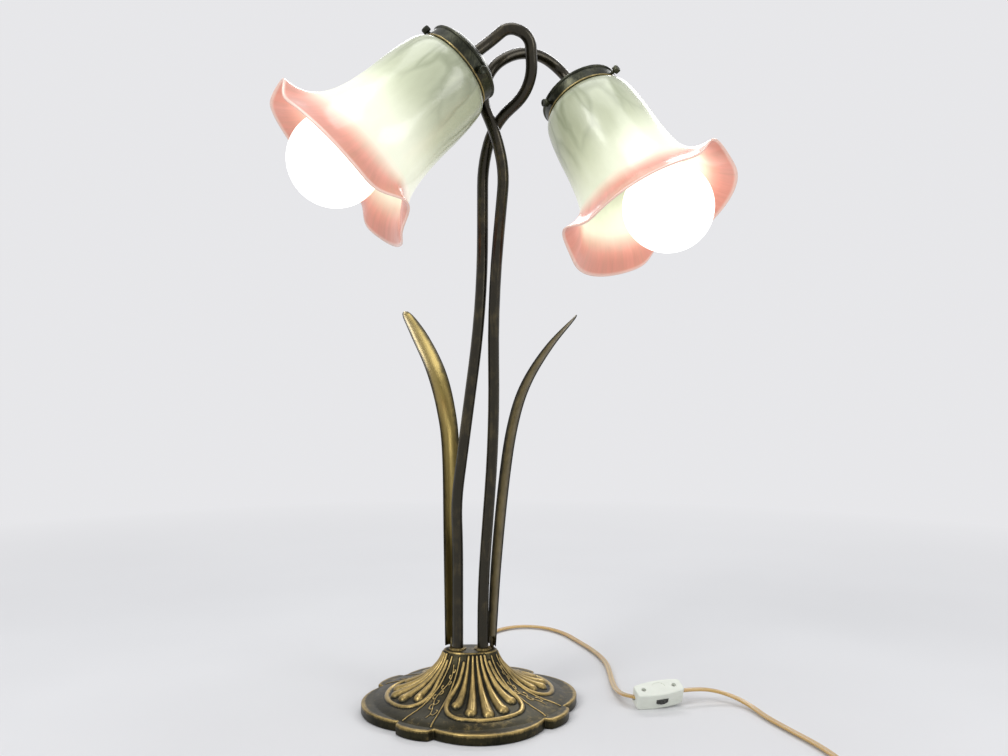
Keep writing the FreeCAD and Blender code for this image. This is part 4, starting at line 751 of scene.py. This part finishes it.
def raise_along(points, normals_height, wear, line, radii, sink=0.0):
    """Raises a rounded ridge along a line and marks how far each point is rubbed."""
    line = np.array(line)
    radii = np.array(radii)
    reach = radii.max() * 1.6
    low, high = line.min(axis=0) - reach, line.max(axis=0) + reach
    near = np.where(((points > low) & (points < high)).all(axis=1))[0]
    if len(near) == 0:
        return
    spots = points[near]
    best = np.full(len(near), -1.0)
    shade_of = np.full(len(near), 0.0)
    for a, b, ra, rb in zip(line, line[1:], radii, radii[1:]):
        along = b - a
        t = np.clip(((spots - a) @ along) / (along @ along), 0, 1)
        distance = np.linalg.norm(spots - a - t[:, None] * along, axis=1)
        radius = ra + (rb - ra) * t
        height = np.sqrt(np.clip(radius ** 2 - distance ** 2, 0, None)) - sink * radius
        best = np.maximum(best, height)
        share = np.clip(height / (radius * (1 - sink)), 0.0, 1.0)
        edge = radius * math.sqrt(1 - sink ** 2)
        groove = np.where((distance >= edge) & (distance < edge + GROOVE_WIDTH),
                          GROOVE_WEAR, 0.0)
        shade_of = np.where(share > 0, np.maximum(shade_of, share),
                            np.where(shade_of > 0, shade_of, np.minimum(shade_of, groove)))
    normals_height[near] = np.maximum(normals_height[near], best)
    wear[near] = np.where(shade_of > 0, np.maximum(wear[near], shade_of),
                          np.where(wear[near] > 0, wear[near],
                                   np.minimum(wear[near], shade_of)))


def casting():
    bearings = np.arange(BASE_COLUMNS) * 360.0 / BASE_COLUMNS
    cosine, sine = np.cos(np.radians(bearings)), np.sin(np.radians(bearings))
    rim = np.array([rim_radius(bearing) for bearing in bearings])
    rows, relief_rows, rubbed = [], [], []

    def add(x, y, z, relief=0.0, rub=0.0):
        rows.append(np.column_stack([x, y, np.full(BASE_COLUMNS, z)]))
        relief_rows.append(relief)
        rubbed.append(rub)

    for share in (0.02, 0.35, 0.7, 0.9, 0.97):
        add(NECK[0] * share * cosine, NECK[1] * share * sine, NECK_HEIGHT, 0.0, 0.1)
    for t in np.linspace(0.0, 1.0, FLARE_ROWS):
        height = RIM_HEIGHT + (NECK_HEIGHT - 0.4 - RIM_HEIGHT) * (1 - t) ** 1.75
        out_x, out_y = (np.interp(-height, -line[:, 0], line[:, 1]) for line in FLARE_LINE)
        rub = 0.5 if t < 0.012 else 0.0
        add((NECK[0] + out_x) * cosine, (NECK[1] + out_y) * sine, height, 1.0, rub)
    last = np.hypot(rows[-1][:, 0], rows[-1][:, 1])
    edge = rim - RIM_ROUND
    # the outer rim top and its rounded edge are rubbed to gold and carry a painted highlight
    for share in (0.2, 0.45, 0.7, 0.9, 1.0):
        radius = last + (edge - last) * share
        add(radius * cosine, radius * sine, RIM_HEIGHT, 0.6 if share < 0.7 else 0.0,
            0.0 if share < 0.9 else 0.55)
    for turn in (22, 45, 68, 90):
        radius = edge + RIM_ROUND * math.sin(math.radians(turn))
        add(radius * cosine, radius * sine,
            RIM_HEIGHT - RIM_ROUND * (1 - math.cos(math.radians(turn))), 0.0,
            0.9 if turn < 60 else 0.4)
    # painted shade down the rim's side and under the base
    for height in (6.2, 4.6, 3.0, 1.4):
        add(rim * cosine, rim * sine, height, 0.0, -0.1)
    add((rim - 0.5) * cosine, (rim - 0.5) * sine, CASTING_LIFT, 0.0, -0.2)
    for radius, height in ((RECESS_RADIUS, CASTING_LIFT), (RECESS_RADIUS, 4.0)):
        add(radius * cosine, radius * sine, height, 0.0, -0.2)

    points = np.concatenate(rows)
    weight = np.repeat(relief_rows, BASE_COLUMNS)
    wear = np.repeat(rubbed, BASE_COLUMNS).astype(float)
    height = np.zeros(len(points))
    ridge_wear = np.zeros(len(points))
    for k in range(SHELL_COUNT):
        crown = LOBE_TURN + k * 360.0 / SHELL_COUNT
        for offset in RIB_OFFSETS:
            raise_along(points, height, ridge_wear, *rib_line(crown, offset), RIB_SINK)
        raise_along(points, height, ridge_wear, *bead_line(crown), BEAD_SINK)
        for line, radii in panel_lines(crown + 180.0 / SHELL_COUNT):
            raise_along(points, height, ridge_wear, line, radii)
    grid = points.reshape(len(rows), BASE_COLUMNS, 3)
    down = np.gradient(grid, axis=0)
    around = np.roll(grid, -1, axis=1) - np.roll(grid, 1, axis=1)
    normal = np.cross(around, down)
    normal /= np.maximum(np.linalg.norm(normal, axis=2), 1e-9)[:, :, None]
    normal = normal.reshape(-1, 3)
    normal *= np.where(normal[:, 2] < 0, -1.0, 1.0)[:, None]
    points = points + normal * (height * (weight > 0))[:, None]
    wear = np.where(np.abs(ridge_wear) > 0.01, ridge_wear, wear)
    piece = mesh_piece("scalloped_base", points * MM, grid_faces(len(rows), BASE_COLUMNS))
    attribute(piece, "wear", wear)
    dress(piece, base_bronze)
    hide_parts("base_casting")


def lathe(name, outline, matrix, columns=64, body="lamp"):
    """Surface of revolution about Z of an outline of (radius, height) in millimetres."""
    points = []
    for radius, height in outline:
        for j in range(columns):
            turn = 2 * math.pi * j / columns
            points.append(matrix @ (Vector((radius * math.cos(turn), radius * math.sin(turn),
                                            height)) * MM))
    faces = [tuple(reversed(face)) for face in grid_faces(len(outline), columns)]
    return mesh_piece(name, points, faces, body)


def stem_rings():
    """Turned collar that stands on the neck round each stem."""
    outline = [(STEM_RADIUS + 0.1, -0.5), (STEM_RADIUS + 0.1, 1.3), (STEM_RADIUS + 0.5, 1.6),
               (STEM_RADIUS + 1.2, 1.5), (STEM_RADIUS + 1.5, 0.9), (STEM_RADIUS + 1.9, 0.9),
               (STEM_RADIUS + 2.3, 1.3), (STEM_RADIUS + 2.8, 1.1), (STEM_RADIUS + 3.0, 0.3),
               (STEM_RADIUS + 3.0, -0.5)]
    for side, word in ((-1, "left"), (1, "right")):
        seat = Matrix.Translation(Vector((side * STEM_SPACING / 2, 0, NECK_HEIGHT)) * MM)
        ring = lathe(word + "_stem_ring", outline, seat)
        attribute(ring, "wear", [0.35 + 0.4 * (k % 64 % 7 == 0) for k in
                                 range(len(ring.data.vertices))])
        dress(ring, base_bronze)


casting()
stem_rings()


# ---- Leaves -------------------------------------------------------------------------------
LEAF_WIDTH = 18.0
LEAF_THICKNESS = 1.6
LEAF_TROUGH = 3.4
LEAF_STUD = (2.0, -7.0, 9.0)   # radius, and ends above the neck
LEAVES = {
    "left": {"foot": (-17.5, 8.0), "bearing": 120.0, "blunt": 0.42,
             "midline": ((54.8, 0.0), (150.0, 0.5), (235.0, 3.0), (275.0, 13.0),
                         (312.0, 35.0), (347.0, 72.0), (373.5, 107.0)),
             "taper": (0.8, 0.95, 1.0, 1.08, 1.15, 1.05, 0.62)},
    "right": {"foot": (20.0, 7.0), "bearing": 32.0, "blunt": 0.1,
              "midline": ((54.8, 0.0), (130.0, 5.0), (209.0, 14.0), (262.0, 24.0),
                          (300.0, 39.0), (336.0, 66.0), (367.0, 99.0)),
              "taper": (0.8, 0.95, 1.0, 1.0, 0.95, 0.75, 0.25)},
}
LEAF_STEPS = 16
LEAF_TIP_START = 0.94          # share of the length where the tip starts to round off


def arc(left, middle, right, steps):
    """Points of the circle arc through three points given as (across, out)."""
    half, rise = (right[0] - left[0]) / 2, middle[1] - left[1]
    if abs(rise) < 1e-6:
        return [(left[0] + 2 * half * k / steps, left[1]) for k in range(steps + 1)]
    radius = (half ** 2 + rise ** 2) / (2 * rise)
    spread = math.asin(min(1.0, half / abs(radius)))
    centre = middle[1] - radius
    return [(radius * math.sin(spread * (2 * k / steps - 1)) * (1 if radius > 0 else -1),
             centre + radius * math.cos(spread * (2 * k / steps - 1)))
            for k in range(steps + 1)]


def leaf(side):
    """Channel-shaped blade with thin edges, and the stud that holds its foot."""
    data = LEAVES[side]
    foot = Vector((*data["foot"], 0))
    lean = direction(data["bearing"])
    across = Vector((0, 0, 1)).cross(lean)
    stations = smooth_line(data["midline"], 12)
    shares = smooth_line([(k, share) for k, share in enumerate(data["taper"])], 12)[:, 1]
    centres = [foot + lean * out + Vector((0, 0, height)) for height, out in stations]
    last = len(centres) - 1
    points, wear = [], []
    for k, (centre, share) in enumerate(zip(centres, shares)):
        ahead = (centres[min(k + 1, last)] - centres[max(k - 1, 0)]).normalized()
        out = across.cross(ahead).normalized()
        tip = max(0.0, (k / last - LEAF_TIP_START) / 0.06)
        share *= data["blunt"] + (1 - data["blunt"]) * math.sqrt(max(0.0, 1 - tip ** 2))
        half, trough = LEAF_WIDTH * share / 2, LEAF_TROUGH * share
        lip = -LEAF_THICKNESS * 0.5
        outer = arc((-half, 0.0), (0.0, trough), (half, 0.0), LEAF_STEPS)
        inner = arc((-half, lip), (0.0, trough - LEAF_THICKNESS), (half, lip), LEAF_STEPS)
        for a, b in outer + inner[::-1]:
            points.append((centre + across * a + out * b) * MM)
            # painted highlight down the middle of the blade, painted shade towards its edges
            side_share = abs(a) / max(half, 1e-6)
            wear.append(0.75 - 1.5 * max(0.0, (side_share - 0.55) / 0.45))
    columns = 2 * (LEAF_STEPS + 1)
    faces = grid_faces(len(centres), columns)
    faces.append(tuple(reversed(range(columns))))
    faces.append(tuple(range(len(points) - columns, len(points))))
    start = len(points)
    radius, low, high = LEAF_STUD
    for height in (low, high):
        for j in range(24):
            turn = 2 * math.pi * j / 24
            points.append((foot + Vector((radius * math.cos(turn), radius * math.sin(turn),
                                          NECK_HEIGHT + height))) * MM)
            wear.append(0.0)
    faces += [tuple(start + i for i in face) for face in grid_faces(2, 24)]
    faces += [tuple(start + i for i in reversed(range(24))),
              tuple(start + 24 + i for i in range(24))]
    piece = mesh_piece(side + "_leaf_blade", points, faces)
    attribute(piece, "wear", wear)
    dress(piece, left_leaf_lit_bronze if side == "left" else right_leaf_shaded_bronze)
    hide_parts(side + "_leaf")


# ---- Thumbscrews and the beads of the holders ---------------------------------------------
HOLDER_RADIUS = 36.0
THUMBSCREW_LEVEL = 5.5
THUMBSCREW_TIP = 30.55
THUMBSCREW_HEAD = (38.6, 43.6)
THUMBSCREW_COUNT = 3
THUMBSCREW_FLUTES = 14


def thumbscrew(side, k):
    """Threaded shank and fluted round head with a dished end."""
    rim = head_rim(side)
    turn = math.radians(HEADS[side]["screw"] + k * 360.0 / THUMBSCREW_COUNT)
    axis = (rim.to_3x3() @ Vector((math.cos(turn), math.sin(turn), 0))).normalized()
    seat = frame_along((rim @ (Vector((0, 0, -THUMBSCREW_LEVEL)) * MM)) / MM, axis,
                       rim.to_3x3() @ Vector((0, 0, 1)))
    start, end = THUMBSCREW_HEAD
    outline = [(0.02, THUMBSCREW_TIP, 0), (1.3, THUMBSCREW_TIP, 0)]
    level = THUMBSCREW_TIP + 0.3
    while level < start - 0.8:
        outline += [(1.58, level, 0), (1.42, level + 0.3, 0)]
        level += 0.6
    outline += [(1.55, start, 0), (2.9, start, 0), (3.3, start + 0.2, 0),
                (3.58, start + 0.6, 1), (3.58, end - 1.0, 1), (3.2, end - 0.25, 0),
                (2.7, end - 0.03, 0), (2.2, end - 0.4, 0), (0.02, end - 0.6, 0)]
    columns = THUMBSCREW_FLUTES * 6
    points, wear = [], []
    for radius, height, fluted in outline:
        for j in range(columns):
            angle = 2 * math.pi * j / columns
            dip = fluted * 0.28 * max(0.0, math.cos(THUMBSCREW_FLUTES * angle)) ** 2
            points.append(seat @ (Vector(((radius - dip) * math.cos(angle),
                                          (radius - dip) * math.sin(angle), height)) * MM))
            wear.append(0.6 if radius > 3 and dip < 0.05 else 0.0)
    faces = grid_faces(len(outline), columns)
    faces.append(tuple(reversed(range(columns))))
    faces.append(tuple(range(len(points) - columns, len(points))))
    name = "%s_thumbscrew_%d" % (side, k + 1)
    piece = mesh_piece(name + "_turned", points, faces, name + "_body")
    attribute(piece, "wear", wear)
    dress(piece, holder_bronze)
    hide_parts(name)


def holder_bead(side):
    outline = [(HOLDER_RADIUS - 0.9, 0.0), (HOLDER_RADIUS - 0.2, 0.3), (HOLDER_RADIUS + 0.4, 0.1),
               (HOLDER_RADIUS + 0.6, -0.6), (HOLDER_RADIUS + 0.3, -1.1),
               (HOLDER_RADIUS - 0.1, -1.4)]
    dress(lathe(side + "_holder_bead", outline, head_rim(side), 96), bead_gold)


for side in HEADS:
    leaf(side)
    holder_bead(side)
    for k in range(THUMBSCREW_COUNT):
        thumbscrew(side, k)


# ---- Bulbs --------------------------------------------------------------------------------
def lit_bulb():
    shader = Shader("lit_bulb")
    facing = shader.add("LayerWeight", {"Blend": 0.35})
    frost = shader.noise(shader.place(), 300.0, 2.0)
    colour = shader.ramp(facing.outputs["Facing"], (0.0, (1.0, 1.0, 0.99)),
                         (0.9, (0.97, 0.99, 0.93)))
    return shader.finish(**{"Base Color": (0.9, 0.92, 0.86), "Roughness": 0.3,
                            "Emission Color": colour.outputs["Color"],
                            "Emission Strength": 1.15,
                            "Normal": shader.bump(frost.outputs["Fac"], 0.00005, 0.3)})


bulb_white = lit_bulb()

# ---- Finishes of the solids that keep their own shape -------------------------------------
FINISHES = (
    (stem_bronze, ("left_stem", "right_stem", "left_collar", "right_collar")),
    (holder_bronze, ("left_holder", "right_holder")),
    (steel, ("stem_washers", "stem_locknuts", "cover_screws", "base_cover_plate",
             "switch_axle", "left_bulb_cap", "right_bulb_cap", "switch_screws")),
    (bright_brass, ("holder_nuts", "switch_contacts", "plug_blades",
                    *(side + part for side in HEADS
                      for part in ("_socket_cap", "_socket_shell", "_screw_shell",
                                   "_centre_contact")))),
    (black_plastic, ("left_socket_insulator", "right_socket_insulator", "wire_connectors")),
    (brown_plastic, ("cord_bushing", "coil_ties")),
    (amber_plastic, ("plug_body", "cord_tail", "left_lead", "right_lead")),
    (white_plastic, ("switch_upper_shell", "switch_lower_shell")),
    (slot_shade_black, ("switch_wheel",)),
    (iron, ("ballast_ring",)),
    (felt_cloth, ("felt_pad",)),
    (bulb_white, ("left_bulb_globe", "right_bulb_globe", "left_bulb_mount",
                  "right_bulb_mount")),
)
for material, names in FINISHES:
    for name in names:
        dress(NODES[name], material)
        NODES[name].data.polygons.foreach_set("use_smooth",
                                              [True] * len(NODES[name].data.polygons))
